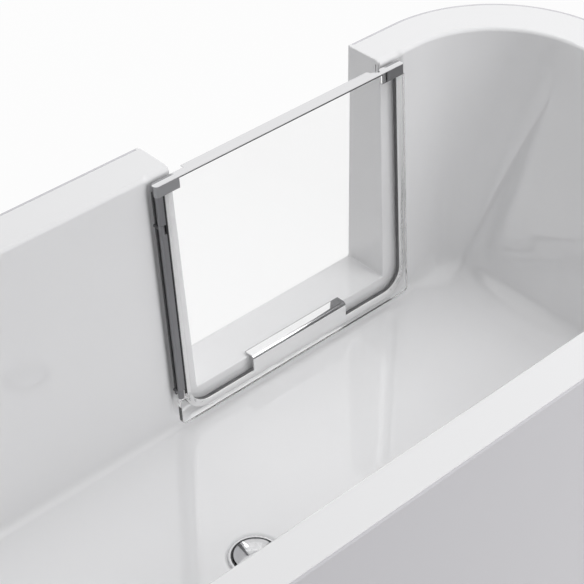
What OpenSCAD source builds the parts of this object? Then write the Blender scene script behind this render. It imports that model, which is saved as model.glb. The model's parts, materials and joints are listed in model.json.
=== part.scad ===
// Step-in bathtub with a glass door in its long side.
// Origin: centre of the footprint on the floor. +Z up, the door faces -Y,
// and the round corner of the tub is at -X on the door side.

/* [Tub] */
// Length over the side panels
tub_l = 1800; // [1700:10:1900]
// Width over the side panels
tub_w = 800; // [750:10:900]
// Height of the rim's top face
rim_z = 600; // [560:5:640]
// Height of the basin floor
floor_z = 124; // [120:1:140]
// Rim width on the door side
rim_door = 76; // [60:1:100]
// Rim width on the wall side
rim_wall = 66; // [60:1:100]
// Rim width at both ends
rim_end = 79; // [60:1:120]
// Lean of the two long basin walls from upright, in degrees
wall_tilt = 2.445; // [1:0.005:5]
// Lean of the two end walls from upright, in degrees
end_tilt = 13.7; // [8:0.1:20]
// Thickness of the reinforced acrylic
shell_t = 8; // [6:1:12]
// Outer radius of the one round corner
corner_r = 240; // [150:10:300]
// Basin radius at the rim inside the round corner
basin_round_r = 180; // [120:10:220]
// Basin radius at the rim in the other corners
basin_r = 120; // [60:10:160]
// Radius where the long walls meet the floor
foot_r = 14; // [8:1:24]
// Radius where the end walls meet the floor
end_foot_r = 50; // [30:5:80]
// Depth of the rim's turned-down edge
skirt_h = 40; // [25:5:60]
// Thickness of the rim's turned-down edge
skirt_t = 6; // [4:1:8]

/* [Doorway] */
// Width of the doorway at the rim
door_w = 430.5; // [400:0.5:500]
// How much each jamb leans in between rim and sill
jamb_lean = 5; // [0:0.5:10]
// Centre of the doorway along the tub
door_x = -340; // [-400:5:-260]
// Height of the sill
sill_z = 179; // [170:1:220]
// Depth of the pocket that the door closes into
pocket_d = 5; // [3:0.5:5]
// Width of the pocket's soft edge
pocket_edge = 12; // [6:1:20]
// Radius of the pocket's lower corners
pocket_r = 35; // [20:5:50]

/* [Door] */
// Thickness of the glass
glass_t = 8; // [6:1:10]
// Distance from the basin wall to the glass
glass_off = 8.2; // [7.5:0.1:10]
// Distance from the hinge-side jamb to the hinge axis
hinge_side = 36.5; // [35:0.5:42]
// How far the glass passes the latch-side jamb
glass_over = 38; // [36:0.5:42]
// How far the glass hangs below the sill
glass_drop = 43.5; // [41:0.5:46]
// How far the top rail's underside lies below the rim
rail_drop = 9.5; // [8:0.5:14]
// Thickness of the top rail
rail_t = 2; // [1.5:0.25:3]
// Height of the black strip between the rail and the glass
strip_h = 3; // [2:0.5:5]
// Depth of the rail at its ends
rail_end_d = 15; // [14:0.5:16]
// Depth of the rail along its grip
rail_grip_d = 22.5; // [20:0.5:26]
// Height of the two blocks under the rail
block_h = 19; // [18:0.5:22]
// Length of the hinge block
hinge_block_l = 44; // [36:1:52]
// Length of the latch block
latch_block_l = 36; // [35:1:40]
// Length of the hinge profile below its block
profile_l = 367.5; // [345:0.5:372]
// Radius of the round hinge profile
profile_r = 5; // [5:0.25:6]
// Radius of the hinge pins
pin_r = 2.5; // [2:0.25:2.5]
// Length of each fixed hinge knuckle
knuckle_l = 16; // [12:1:20]
// Width of the dark base strip behind the hinge
base_w = 6.5; // [5:0.5:7]
// Thickness of the base strip
base_t = 3; // [2:0.5:4]
// Width of the black gasket between the hinge profile and the glass
edge_gasket_w = 2.8; // [2:0.2:3]
// Depth of that gasket
edge_gasket_t = 1.5; // [1:0.25:2]

/* [Seal and grip] */
// Width of the seal frame and the seal
seal_w = 12; // [10:0.5:14]
// Outer radius of the seal's lower corners
seal_r = 50; // [40:2:60]
// Thickness of the seal frame
seal_frame_t = 2.8; // [2:0.2:3]
// How far the seal reaches below the sill
seal_drop = 36; // [33:0.5:38]
// Width of the seal's thin lip
seal_lip_w = 3; // [2:0.5:4]
// Depth of the seal's thin lip
seal_lip_d = 3; // [2:0.5:5]
// Length of the grip along the door's foot
grip_l = 208.5; // [160:0.5:260]
// How far the grip's edge lies below the sill, less than nothing when above
grip_drop = -6; // [-12:0.5:-6]
// Thickness of the grip's rolled sheet
grip_t = 2; // [1.5:0.1:2.4]
// Reach of the grip's lip towards the doorway
grip_reach = 22.5; // [16:0.5:22.5]

/* [Latch] */
// Travel of the latch's push button
latch_travel = 3; // [2:0.1:3]
// Length of the push button
button_l = 6.5; // [6.3:0.1:8]
// Thickness of the hook plate
hook_t = 3.5; // [3:0.25:4]
// Width of the hook's stem
stem_w = 10; // [6:0.5:10]

/* [Waste] */
// Place of the waste along the tub
waste_x = 12; // [-20:1:30]
// Place of the waste across the tub
waste_y = -5; // [-20:1:20]
// Outer radius of the waste's flange
flange_r = 41; // [38:0.5:43]
// Radius of the plug's cap
cap_r = 32; // [30:0.5:33]
// Radius of the soft dish around the waste
dish_r = 44; // [43.5:0.5:50]
// Depth of that dish
dish_d = 3; // [2:0.5:4]
// Lift of the plug
plug_lift = 9.3; // [6:0.1:9.3]
// Outer radius of the outlet pipe
outlet_r = 20; // [16:1:20]
// Height of the outlet pipe's axis
outlet_z = 44; // [40:1:48]
// Place of the outlet pipe's open end
outlet_end_y = 310; // [280:5:320]

/* [Overflow] */
// Depth of the overflow below the rim
overflow_drop = 110; // [90:5:150]
// Radius of the turning cover
knob_r = 35; // [30:1:40]
// Radius of the cover's spindle
spindle_r = 5; // [4:0.5:6]
// Outer radius of the overflow pipe
overflow_pipe_r = 12; // [10:0.5:13]
// Radius of the control cable's sleeve
cable_r = 2.5; // [2:0.25:3]

/* [Supports] */
// Thickness of the board under the floor
board_t = 15; // [12:1:18]
// Length of the board
board_l = 1200; // [1000:50:1250]
// Width of the board
board_w = 460; // [400:10:500]
// Height of the leg bars
bar_h = 30; // [25:1:35]
// Width of the leg bars
bar_w = 40; // [40:1:50]
// Wall of the leg bars
bar_wall = 2.5; // [2:0.5:3]
// Length of the leg bars
bar_l = 600; // [560:10:640]
// Distance of the feet from the ends of the leg bars
foot_inset = 35; // [30:1:50]
// Radius of the foot's threaded stem
stem_r = 6; // [5:0.5:6]
// Radius of the foot's pad
pad_r = 24; // [20:1:30]
// Height of the foot's pad
pad_h = 10; // [8:1:14]

/* [Panels] */
// Thickness of the side panels
panel_t = 4; // [3:0.5:6]
// Height of the gap under the panels
toe_z = 15; // [10:5:40]
// How far the panels stop below the rim's top face
panel_drop = 0.5; // [0.2:0.1:2]

/* [Hidden] */

// Clearance between pieces that move past each other
gap = 0.3;
// Radial clearance of a pin or shaft that turns or slides in its bore
run = 0.05;
// Small overrun that carries a cut clear through a face
over = 1;

// Basin: heights and places of the wall and floor curves
function door_wall_y(z) = -tub_w / 2 + rim_door + (rim_z - z) * tan(wall_tilt);
function back_wall_y(z) = tub_w / 2 - rim_wall - (rim_z - z) * tan(wall_tilt);
function end_wall_x(z) = tub_l / 2 - rim_end - (rim_z - z) * tan(end_tilt);
foot_z = floor_z + foot_r;
end_foot_z = floor_z + end_foot_r;
end_foot_x = end_wall_x(end_foot_z) - end_foot_r / cos(end_tilt);
foot_x = end_foot_x - end_foot_r;
underside_z = floor_z - shell_t;

// Doorway: edges in the tub's own frame
hinge_jamb_x = door_x + door_w / 2;
latch_jamb_x = door_x - door_w / 2;

// Door: places in the door wall's own frame, where x runs along the tub, y stands square to
// the basin wall towards the bather, and z is 0 at the rim
sill_d = rim_z - sill_z;
axis_x = hinge_jamb_x + hinge_side;
glass_y = glass_off;
glass_front = glass_y + glass_t;
axis_y = glass_y + 3;
glass_edge_x = axis_x - 9;
glass_hook_x = axis_x + 6;
glass_latch_x = latch_jamb_x - glass_over;
glass_bottom = -sill_d - glass_drop;
rail_z = -rail_drop;
block_z = rail_z - block_h;
block_r = 6.2;
block_end_x = axis_x - hinge_block_l + block_r;
block_back = axis_y - block_r;
block_front = axis_y + block_r;
latch_end_x = glass_latch_x + 3.5;
latch_in_x = latch_end_x + latch_block_l;
profile_z = block_z - profile_l;
rail_back = axis_y - rail_end_d / 2;
rail_front = axis_y + rail_end_d / 2;
// Ends of the rail's deep grip, with the finger notch at the latch end
grip_start_x = hinge_jamb_x - 20.5;
grip_end_x = latch_in_x + 27.5;
// Fixed knuckles: the upper one sits in a gap of the profile, the lower one under it
knuckle_drop = 51;
upper_knuckle_z = block_z - knuckle_drop;
knuckle_gap = 0.6;
lower_knuckle_z = profile_z - gap;
hook_z = lower_knuckle_z - knuckle_l - 2;
bush_r = pin_r + 1;
bush_l = 8;
bracket_stud_r = 3;
base_x = axis_x - 6;
gasket_x = axis_x - profile_r - knuckle_gap - edge_gasket_w;

// Pocket: ends of its flat floor
pocket_x0 = glass_latch_x - 3;
pocket_x1 = axis_x + 2.5;

// Seal frame: outer edges
seal_out_hinge = glass_edge_x + 2;
seal_out_latch = glass_latch_x + 1;
seal_bottom = -sill_d - seal_drop;
seal_top = block_z - gap;
frame_back = glass_y - seal_frame_t;
grip_mid_x = hinge_jamb_x - 115 - grip_l / 2;
grip_z = -sill_d - grip_drop;
grip_bend = 6;
hook_r = 3;

// Latch: button and hook at rest stand clear of the keeper, and a push hooks them under its lip
latch_wall = 1.5;
button_x = latch_in_x + latch_travel + gap;
button_end_x = button_x + button_l;
hook_z1 = block_z + block_h / 2 - 1.7;
hook_z0 = hook_z1 - hook_t;
hook_y0 = block_back + latch_wall + gap;
hook_y1 = block_front - latch_wall - gap;
hook_tail_x = latch_end_x + 2 + latch_travel + gap;
barb_l = latch_travel;
barb_gap = 0.8;
barb_y = 1.5 - pocket_d;
barb_d = 3;
lip_gap = 0.5;
lip_d = 3;
post_t = 3;
keeper_h = hook_t + 2.5;
keeper_base_t = 3;
keeper_base_l = 12;
post_x = latch_end_x + keeper_base_l;
lip_x = post_x + latch_travel;
barb_x = lip_x + barb_gap;
stem_x = barb_x + barb_l;

// Waste: heights of the stack from the dish down to the trap
seat_z = floor_z - dish_d;
waste_bore = 22;
waste_tube_r = 25.4;
waste_hole_r = 26;
gasket_t = 3;
trap_top_z = underside_z - gasket_t;
trap_r = 34;
trap_wall = 3;
trap_floor_z = 20;
overflow_in_z = 82;
socket_l = 25;
spigot_l = 50;
collar_t = 4;
stem_top_r = 4;
hub_z = 98;
hub_h = 8;
stem_end_z = 84;
cap_dome = 6;
// Lever that lifts the plug: its nose swings evenly below and above its pin
lever_l = 18;
lever_sweep = 2 * asin(plug_lift / 2 / lever_l);
nose_r = 3;
arm_t = 3;
lever_nose_z = stem_end_z - gap - nose_r;
lever_pin_z = lever_nose_z + plug_lift / 2;
lever_pin_y = waste_y + lever_l * cos(lever_sweep / 2);
lever_pin_r = 2;
lever_w = 8;
gland_x = waste_x - 24;
gland_z = 92;

// Overflow: depths in the back wall's own frame, y away from the bather
overflow_z = rim_z - overflow_drop;
face_r = 31;
face_t = 4;
overflow_hole_r = 23;
overflow_tube_r = 22;
drum_r = 30;
drum_front = 5;
drum_y = shell_t + gasket_t + 3;
drum_l = 24;
pipe_y = back_wall_y(overflow_z) + drum_y + drum_l / 2;
cable_in_y = pipe_y - 8.3;
pipe_top_z = overflow_z - drum_r - 12;
pipe_bend = 30;
pipe_wall = 2;

// Supports
board_z = underside_z - board_t;
bar_z = board_z - bar_h;
bar_x = [-520, -170, 520];
stem_top_z = bar_z + 19;
nut_r = 11;
nut_h = 10;
foot_y = bar_l / 2 - foot_inset;
foot_spots = [for (x = bar_x, side = [-1, 1]) [x, side * foot_y]];
bracket_w = 30;
bracket_t = 4;
bracket_leg = 50;
screw_rise = 25;
bracket_y = bar_l / 2 - 20;
panel_top = rim_z - panel_drop;

// Route of the control cable from the overflow to the trap
cable_path = [[-8, 347, 446], [-8, 347, 400], [-9, 348, 340], [-10, 349, 280], [-11, 349, 220],
    [-12, 347, 170], [-12, 340, 138], [-12, 326, 113], [-12, 304, 98], [-12, 276, 92],
    [-12, 230, 91], [-12, 180, 91], [-12, 130, 91], [-12, 90, 91.5], [-12, 60, 92],
    [gland_x, waste_y + trap_r + 4, gland_z]];

// Places its children on the basin's door wall, with z = 0 at the rim
module on_door_wall() {
    translate([0, door_wall_y(rim_z), rim_z]) rotate([wall_tilt, 0, 0]) children();
}

// Places its children on the basin's back wall, with z = 0 at the rim
module on_back_wall() {
    translate([0, back_wall_y(rim_z), rim_z]) rotate([-wall_tilt, 0, 0]) children();
}

// Plan of the tub with its one round corner, drawn in from the outside by inset
module plan(inset) {
    r = corner_r - inset;
    half_l = tub_l / 2 - inset;
    half_w = tub_w / 2 - inset;
    difference() {
        translate([-half_l, -half_w]) square([2 * half_l, 2 * half_w]);
        translate([-half_l - over, -half_w - over]) square(r + over);
    }
    translate([-half_l + r, -half_w + r]) circle(r, $fn = 96);
}

// The basin's form, let out by grow on every side
module basin(grow) {
    top_x = end_wall_x(rim_z);
    top_front = door_wall_y(rim_z);
    top_back = back_wall_y(rim_z);
    hull() {
        translate([-top_x + basin_round_r, top_front + basin_round_r, rim_z])
            cylinder(r = basin_round_r + grow, h = over, $fn = 64);
        translate([top_x - basin_r, top_front + basin_r, rim_z])
            cylinder(r = basin_r + grow, h = over, $fn = 48);
        for (side = [-1, 1])
            translate([side * (top_x - basin_r), top_back - basin_r, rim_z])
                cylinder(r = basin_r + grow, h = over, $fn = 48);
        for (side = [-1, 1]) {
            translate([side * foot_x, door_wall_y(foot_z) + foot_r / cos(wall_tilt), foot_z])
                sphere(r = foot_r + grow, $fn = 32);
            translate([side * foot_x, back_wall_y(foot_z) - foot_r / cos(wall_tilt), foot_z])
                sphere(r = foot_r + grow, $fn = 32);
            translate([side * end_foot_x, door_wall_y(end_foot_z) + end_foot_r / cos(wall_tilt), end_foot_z])
                sphere(r = end_foot_r + grow, $fn = 32);
            translate([side * end_foot_x, back_wall_y(end_foot_z) - end_foot_r / cos(wall_tilt), end_foot_z])
                sphere(r = end_foot_r + grow, $fn = 32);
        }
    }
}

// Upright prism along Y with the doorway's outline, let out by grow
module doorway(y0, y1, grow) {
    top = rim_z + over;
    translate([0, y1, 0]) rotate([90, 0, 0]) linear_extrude(y1 - y0)
        polygon([[latch_jamb_x - grow, top], [hinge_jamb_x + grow, top],
            [hinge_jamb_x - jamb_lean + grow, sill_z - grow],
            [latch_jamb_x + jamb_lean - grow, sill_z - grow]]);
}

// Outline of the door's pocket in the basin wall, as a thin sheet at depth y
module pocket_sheet(y, grow) {
    x0 = pocket_x0 - grow;
    x1 = pocket_x1 + grow;
    r = pocket_r + grow;
    low = -(rim_z - floor_z) + foot_r - grow;
    translate([0, y, 0]) rotate([90, 0, 0]) linear_extrude(0.01) {
        translate([x0, low + r]) square([x1 - x0, over - low - r]);
        for (x = [x0 + r, x1 - r]) translate([x, low + r]) circle(r, $fn = 48);
    }
}

module tub_shell() {
    color("white") difference() {
        union() {
            translate([0, 0, rim_z - shell_t]) linear_extrude(shell_t) plan(panel_t);
            translate([0, 0, rim_z - skirt_h]) linear_extrude(skirt_h) difference() {
                plan(panel_t);
                plan(panel_t + skirt_t);
            }
            intersection() {
                basin(shell_t);
                translate([-tub_l, -tub_w, 0]) cube([2 * tub_l, 2 * tub_w, rim_z]);
            }
            intersection() {
                doorway(-tub_w / 2, door_wall_y(sill_z), shell_t);
                translate([-tub_l, -tub_w, 0]) cube([2 * tub_l, 2 * tub_w, rim_z]);
            }
            on_door_wall() translate([pocket_x0 - pocket_edge - shell_t, -pocket_d - shell_t, -(rim_z - floor_z)])
                cube([pocket_x1 - pocket_x0 + 2 * (pocket_edge + shell_t), pocket_d + shell_t,
                    rim_z - floor_z - shell_t]);
        }
        basin(0);
        doorway(-tub_w / 2 - over, door_wall_y(floor_z), 0);
        on_door_wall() hull() {
            pocket_sheet(-pocket_d, 0);
            pocket_sheet(over, pocket_edge);
        }
        for (z = [upper_knuckle_z - knuckle_l / 2, lower_knuckle_z - knuckle_l / 2]) on_door_wall()
            translate([axis_x, over, z]) rotate([90, 0, 0])
                cylinder(r = bracket_stud_r + gap, h = 4 * shell_t, $fn = 32);
        translate([waste_x, waste_y, seat_z])
            cylinder(r1 = dish_r - 2, r2 = dish_r + 2 * over / dish_d, h = dish_d + over, $fn = 96);
        translate([waste_x, waste_y, underside_z - over])
            cylinder(r = waste_hole_r, h = 4 * shell_t, $fn = 64);
        on_back_wall() translate([waste_x, -over, -overflow_drop]) rotate([-90, 0, 0])
            cylinder(r = overflow_hole_r, h = 3 * shell_t, $fn = 64);
    }
}

// One sheet bent round the door side, the round corner and the round end
module front_apron() {
    color("white") difference() {
        translate([0, 0, toe_z]) linear_extrude(panel_top - toe_z) difference() {
            plan(0);
            plan(panel_t);
            translate([-tub_l / 2 + panel_t, tub_w / 2 - panel_t]) square([tub_l, 2 * panel_t]);
            translate([-tub_l / 2 - over, tub_w / 2 - panel_t]) square([panel_t + 2 * over, 2 * panel_t]);
            translate([tub_l / 2 - panel_t, -tub_w / 2 + panel_t]) square([2 * panel_t, tub_w]);
        }
        doorway(-tub_w / 2 - over, -tub_w / 2 + panel_t + over, shell_t + gap);
    }
}

module wall_panel() {
    color("whitesmoke") difference() {
        translate([-tub_l / 2, tub_w / 2 - panel_t, toe_z]) cube([tub_l, panel_t, panel_top - toe_z]);
        translate([waste_x, tub_w / 2 + over, outlet_z]) rotate([90, 0, 0])
            cylinder(r = outlet_r + 12, h = panel_t + 2 * over, $fn = 64);
    }
}

module end_panel() {
    color("whitesmoke") translate([tub_l / 2 - panel_t, -tub_w / 2 + panel_t, toe_z])
        cube([panel_t, tub_w - 2 * panel_t, panel_top - toe_z]);
}

// Angle brackets that hold the long panels to the leg bars
module panel_brackets() {
    reach = tub_w / 2 - panel_t;
    color("silver") for (x = bar_x, side = [0, 1]) mirror([0, side, 0]) difference() {
        translate([x - bracket_w / 2, bracket_y, bar_z - bracket_t]) {
            cube([bracket_w, reach - bracket_y, bracket_t]);
            translate([0, reach - bracket_y - bracket_t, 0]) cube([bracket_w, bracket_t, bracket_leg]);
        }
        translate([x, bar_l / 2 - 10, bar_z - bracket_t - over])
            cylinder(r = 2.5, h = bracket_t + 2 * over, $fn = 32);
        translate([x, reach - bracket_t - over, bar_z + screw_rise]) rotate([-90, 0, 0])
            cylinder(r = 2.5, h = bracket_t + 2 * over, $fn = 32);
    }
}

module panel_screws() {
    reach = tub_w / 2 - panel_t;
    color("silver") for (x = bar_x, side = [0, 1]) mirror([0, side, 0]) {
        translate([x, bar_l / 2 - 10, bar_z - bracket_t - 2.5]) {
            cylinder(r = 4.5, h = 2.5, $fn = 32);
            cylinder(r = 2.4, h = bracket_t + 2.5, $fn = 32);
        }
        translate([x, reach - bracket_t - 2.5, bar_z + screw_rise]) rotate([-90, 0, 0]) {
            cylinder(r = 4.5, h = 2.5, $fn = 32);
            cylinder(r = 2.4, h = bracket_t + 2.5, $fn = 32);
        }
    }
}

module floor_board() {
    color("burlywood") difference() {
        translate([-board_l / 2, -board_w / 2, board_z]) cube([board_l, board_w, board_t]);
        translate([waste_x, waste_y, board_z - over])
            cylinder(r = dish_r + 10, h = board_t + 2 * over, $fn = 64);
        for (x = bar_x, y = [-board_w / 2 + 40, board_w / 2 - 40])
            translate([x, y, board_z - over]) cylinder(r = 2.5, h = 10 + over, $fn = 32);
    }
}

// Square tube across the tub, with a bore for the stem of the foot at each end
module leg_bar(x) {
    color("slategray") difference() {
        translate([x - bar_w / 2, -bar_l / 2, bar_z]) cube([bar_w, bar_l, bar_h]);
        translate([x - bar_w / 2 + bar_wall, -bar_l / 2 - over, bar_z + bar_wall])
            cube([bar_w - 2 * bar_wall, bar_l + 2 * over, bar_h - 2 * bar_wall]);
        for (y = [-foot_y, foot_y]) translate([x, y, bar_z - over])
            cylinder(r = stem_r + 2 * gap, h = bar_wall + 2 * over, $fn = 48);
        for (y = [-board_w / 2 + 40, board_w / 2 - 40]) translate([x, y, bar_z + bar_h - bar_wall - over])
            cylinder(r = 2.5, h = bar_wall + 2 * over, $fn = 32);
    }
}

module leg_bar_1() { leg_bar(bar_x[0]); }
module leg_bar_2() { leg_bar(bar_x[1]); }
module leg_bar_3() { leg_bar(bar_x[2]); }

// Screws up through the leg bars into the board
module bar_screws() {
    color("silver") for (x = bar_x, y = [-board_w / 2 + 40, board_w / 2 - 40])
        translate([x, y, board_z - bar_wall - 3]) {
            cylinder(r = 4.5, h = 3, $fn = 32);
            cylinder(r = 2.4, h = bar_wall + 12, $fn = 32);
        }
}

// Hexagon nut with a smooth bore
module nut(h) {
    difference() {
        cylinder(r = nut_r, h = h, $fn = 6);
        translate([0, 0, -over]) cylinder(r = stem_r + run, h = h + 2 * over, $fn = 48);
    }
}

module foot_nuts() {
    color("silver") for (p = foot_spots) translate([p[0], p[1], bar_z + bar_wall]) nut(nut_h);
}

module lock_nuts() {
    color("silver") for (p = foot_spots) translate([p[0], p[1], bar_z - nut_h]) nut(nut_h);
}

// Levelling foot: threaded stem in a round plastic pad
module foot(i) {
    p = foot_spots[i - 1];
    color("dimgray") translate([p[0], p[1], 0]) {
        cylinder(r = pad_r, h = pad_h, $fn = 64);
        cylinder(r = nut_r, h = pad_h + 6, $fn = 6);
        cylinder(r = stem_r, h = stem_top_z, $fn = 48);
    }
}

module foot_1() { foot(1); }
module foot_2() { foot(2); }
module foot_3() { foot(3); }
module foot_4() { foot(4); }
module foot_5() { foot(5); }
module foot_6() { foot(6); }

// Chrome flange with a sloping seat, the tube below it and the spider that guides the stem
module waste_flange() {
    top = floor_z + 0.8;
    color("gainsboro") translate([waste_x, waste_y, 0]) {
        rotate_extrude($fn = 96) polygon([[waste_bore, seat_z - 25], [waste_tube_r, seat_z - 25],
            [waste_tube_r, seat_z], [flange_r, seat_z], [flange_r, top - 1.2], [flange_r - 1.5, top],
            [cap_r + 2.5, top], [cap_r + 1, top - 0.6], [waste_bore + 1.5, seat_z - 1],
            [waste_bore, seat_z - 3]]);
        difference() {
            union() {
                translate([0, 0, hub_z]) cylinder(r = stem_top_r + 3, h = hub_h, $fn = 48);
                for (a = [0, 120, 240]) rotate([0, 0, a]) translate([0, -1.5, hub_z])
                    cube([waste_bore + 1, 3, hub_h]);
            }
            translate([0, 0, hub_z - over]) cylinder(r = stem_top_r + run, h = hub_h + 2 * over, $fn = 48);
        }
    }
}

module waste_gasket() {
    color("black") translate([waste_x, waste_y, trap_top_z]) difference() {
        cylinder(r = trap_r + 8, h = gasket_t, $fn = 64);
        translate([0, 0, -over]) cylinder(r = waste_hole_r, h = gasket_t + 2 * over, $fn = 64);
    }
}

// Low trap with sockets for the outlet and the overflow pipe
module trap_body() {
    neck_z = trap_top_z - 9;
    color("white") translate([waste_x, waste_y, 0]) difference() {
        union() {
            translate([0, 0, trap_top_z - 5]) cylinder(r = trap_r + 8, h = 5, $fn = 64);
            translate([0, 0, trap_floor_z]) cylinder(r = trap_r, h = trap_top_z - trap_floor_z, $fn = 64);
            translate([0, 0, outlet_z]) rotate([-90, 0, 0])
                cylinder(r = outlet_r + 4, h = trap_r + socket_l, $fn = 64);
            translate([0, 0, overflow_in_z]) rotate([-90, 0, 0])
                cylinder(r = overflow_pipe_r + 3, h = trap_r + socket_l, $fn = 64);
            translate([gland_x - waste_x, 0, gland_z]) rotate([-90, 0, 0])
                cylinder(r = cable_r + 2, h = trap_r + 4, $fn = 32);
        }
        translate([0, 0, trap_floor_z - over])
            cylinder(r = trap_r - trap_wall, h = neck_z - trap_floor_z + over, $fn = 64);
        translate([0, 0, neck_z - over])
            cylinder(r = waste_tube_r + gap, h = trap_top_z - neck_z + 2 * over, $fn = 64);
        translate([0, trap_r - trap_wall - 8, outlet_z]) rotate([-90, 0, 0])
            cylinder(r = outlet_r - 3, h = socket_l + trap_wall + 10, $fn = 64);
        translate([0, trap_r + 2, outlet_z]) rotate([-90, 0, 0])
            cylinder(r = outlet_r + run, h = socket_l, $fn = 64);
        translate([0, trap_r - trap_wall - 8, overflow_in_z]) rotate([-90, 0, 0])
            cylinder(r = overflow_pipe_r - 2, h = socket_l + trap_wall + 10, $fn = 64);
        translate([0, trap_r + 2, overflow_in_z]) rotate([-90, 0, 0])
            cylinder(r = overflow_pipe_r + run, h = socket_l, $fn = 64);
        translate([-trap_r, lever_pin_y - waste_y, lever_pin_z]) rotate([0, 90, 0])
            cylinder(r = lever_pin_r + run, h = 2 * trap_r, $fn = 32);
    }
}

// Screwed cap that closes the trap from below
module trap_cap() {
    color("lightgray") translate([waste_x, waste_y, trap_floor_z - 4]) {
        cylinder(r = trap_r + 2, h = 4, $fn = 64);
        translate([0, 0, 4]) difference() {
            cylinder(r = trap_r - trap_wall - gap, h = 8, $fn = 64);
            translate([0, 0, 2]) cylinder(r = trap_r - trap_wall - 3, h = 8, $fn = 64);
        }
    }
}

// Pipe from the trap, with a collar that stops the pipe pushed over its end
module outlet_pipe() {
    y0 = waste_y + trap_r + 2;
    color("white") translate([waste_x, y0, outlet_z]) rotate([-90, 0, 0]) difference() {
        union() {
            cylinder(r = outlet_r, h = outlet_end_y - y0, $fn = 64);
            translate([0, 0, outlet_end_y - y0 - spigot_l - collar_t])
                cylinder(r = outlet_r + 3, h = collar_t, $fn = 64);
        }
        translate([0, 0, -over]) cylinder(r = outlet_r - 3, h = outlet_end_y - y0 + 2 * over, $fn = 64);
    }
}

// Domed cap of the pop-up plug
module plug_cap() {
    edge_z = floor_z + 1.4;
    dome_r = (cap_r * cap_r + cap_dome * cap_dome) / (2 * cap_dome);
    color("gainsboro") translate([waste_x, waste_y, 0]) {
        intersection() {
            translate([0, 0, edge_z]) cylinder(r = cap_r, h = cap_dome + 2, $fn = 96);
            translate([0, 0, edge_z + 1.6 + cap_dome - dome_r]) sphere(r = dome_r, $fn = 128);
        }
        translate([0, 0, seat_z]) cylinder(r = 14, h = edge_z - seat_z, $fn = 64);
    }
}

module plug_seal() {
    color("black") translate([waste_x, waste_y, seat_z - 2.5]) difference() {
        cylinder(r = waste_bore - gap - 0.1, h = 2.5, $fn = 96);
        translate([0, 0, -over]) cylinder(r = stem_top_r, h = 2.5 + 2 * over, $fn = 48);
    }
}

module plug_stem() {
    color("silver") translate([waste_x, waste_y, stem_end_z])
        cylinder(r = stem_top_r, h = seat_z - stem_end_z, $fn = 48);
}

// Rocker under the plug's stem, with an eye for the cable behind its pin
module lift_lever() {
    color("gold") translate([waste_x, lever_pin_y, lever_pin_z]) rotate([lever_sweep / 2, 0, 0])
        difference() {
        union() {
            translate([-lever_w / 2, -lever_l, -arm_t / 2]) cube([lever_w, lever_l + 7, arm_t]);
            translate([-lever_w / 2, -lever_l, 0]) rotate([0, 90, 0])
                cylinder(r = nose_r, h = lever_w, $fn = 48);
            translate([-lever_w / 2, 0, 0]) rotate([0, 90, 0])
                cylinder(r = lever_pin_r + 3, h = lever_w, $fn = 48);
        }
        translate([-lever_w, 0, 0]) rotate([0, 90, 0])
            cylinder(r = lever_pin_r + run, h = 2 * lever_w, $fn = 48);
    }
}

module lever_pin() {
    half = sqrt(pow(trap_r - 1, 2) - pow(lever_pin_y - waste_y, 2));
    color("silver") translate([waste_x - half, lever_pin_y, lever_pin_z]) rotate([0, 90, 0])
        cylinder(r = lever_pin_r, h = 2 * half, $fn = 48);
}

// Chrome face against the basin wall, with its threaded tube through the wall
module overflow_face() {
    color("gainsboro") on_back_wall() translate([waste_x, 0, -overflow_drop]) rotate([-90, 0, 0])
        difference() {
        union() {
            translate([0, 0, -face_t]) cylinder(r = face_r, h = face_t, $fn = 96);
            translate([0, 0, -face_t]) cylinder(r = overflow_tube_r, h = face_t + drum_y + 6, $fn = 64);
        }
        translate([0, 0, -face_t + 3]) cylinder(r = overflow_tube_r - 3, h = drum_y + 20, $fn = 64);
        translate([0, 0, -face_t - over]) cylinder(r = spindle_r + run, h = 10, $fn = 48);
        for (a = [30:60:330]) rotate([0, 0, a]) translate([spindle_r + 8, 0, -face_t - over])
            cylinder(r = 4.5, h = 10, $fn = 32);
    }
}

module overflow_gasket() {
    color("black") on_back_wall() translate([waste_x, shell_t, -overflow_drop]) rotate([-90, 0, 0])
        difference() {
        cylinder(r = drum_r + 6, h = gasket_t, $fn = 64);
        translate([0, 0, -over]) cylinder(r = overflow_tube_r + gap, h = gasket_t + 2 * over, $fn = 64);
    }
}

// Hollow drum behind the wall that drains down into the overflow pipe
module overflow_body() {
    color("white") difference() {
        union() {
            on_back_wall() translate([waste_x, shell_t + gasket_t, -overflow_drop]) rotate([-90, 0, 0]) {
                cylinder(r = drum_r + 6, h = 3, $fn = 64);
                cylinder(r = drum_r, h = drum_l + 3, $fn = 64);
            }
            translate([waste_x, pipe_y, pipe_top_z - 14])
                cylinder(r = overflow_pipe_r + 3, h = 34, $fn = 48);
            translate([cable_path[0][0], cable_in_y, cable_path[0][2]])
                cylinder(r = cable_r + 2, h = overflow_z - 19 - cable_path[0][2], $fn = 32);
        }
        on_back_wall() translate([waste_x, shell_t + gasket_t, -overflow_drop]) rotate([-90, 0, 0]) {
            translate([0, 0, -over]) cylinder(r = overflow_tube_r + gap, h = 10, $fn = 64);
            translate([0, 0, drum_front]) cylinder(r = drum_r - 3, h = drum_l - drum_front, $fn = 64);
        }
        translate([waste_x, pipe_y, pipe_top_z - 14 - over])
            cylinder(r = overflow_pipe_r + run, h = 14 + over, $fn = 48);
        translate([waste_x, pipe_y, pipe_top_z - 2]) cylinder(r = overflow_pipe_r - 3, h = 30, $fn = 48);
    }
}

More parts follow.
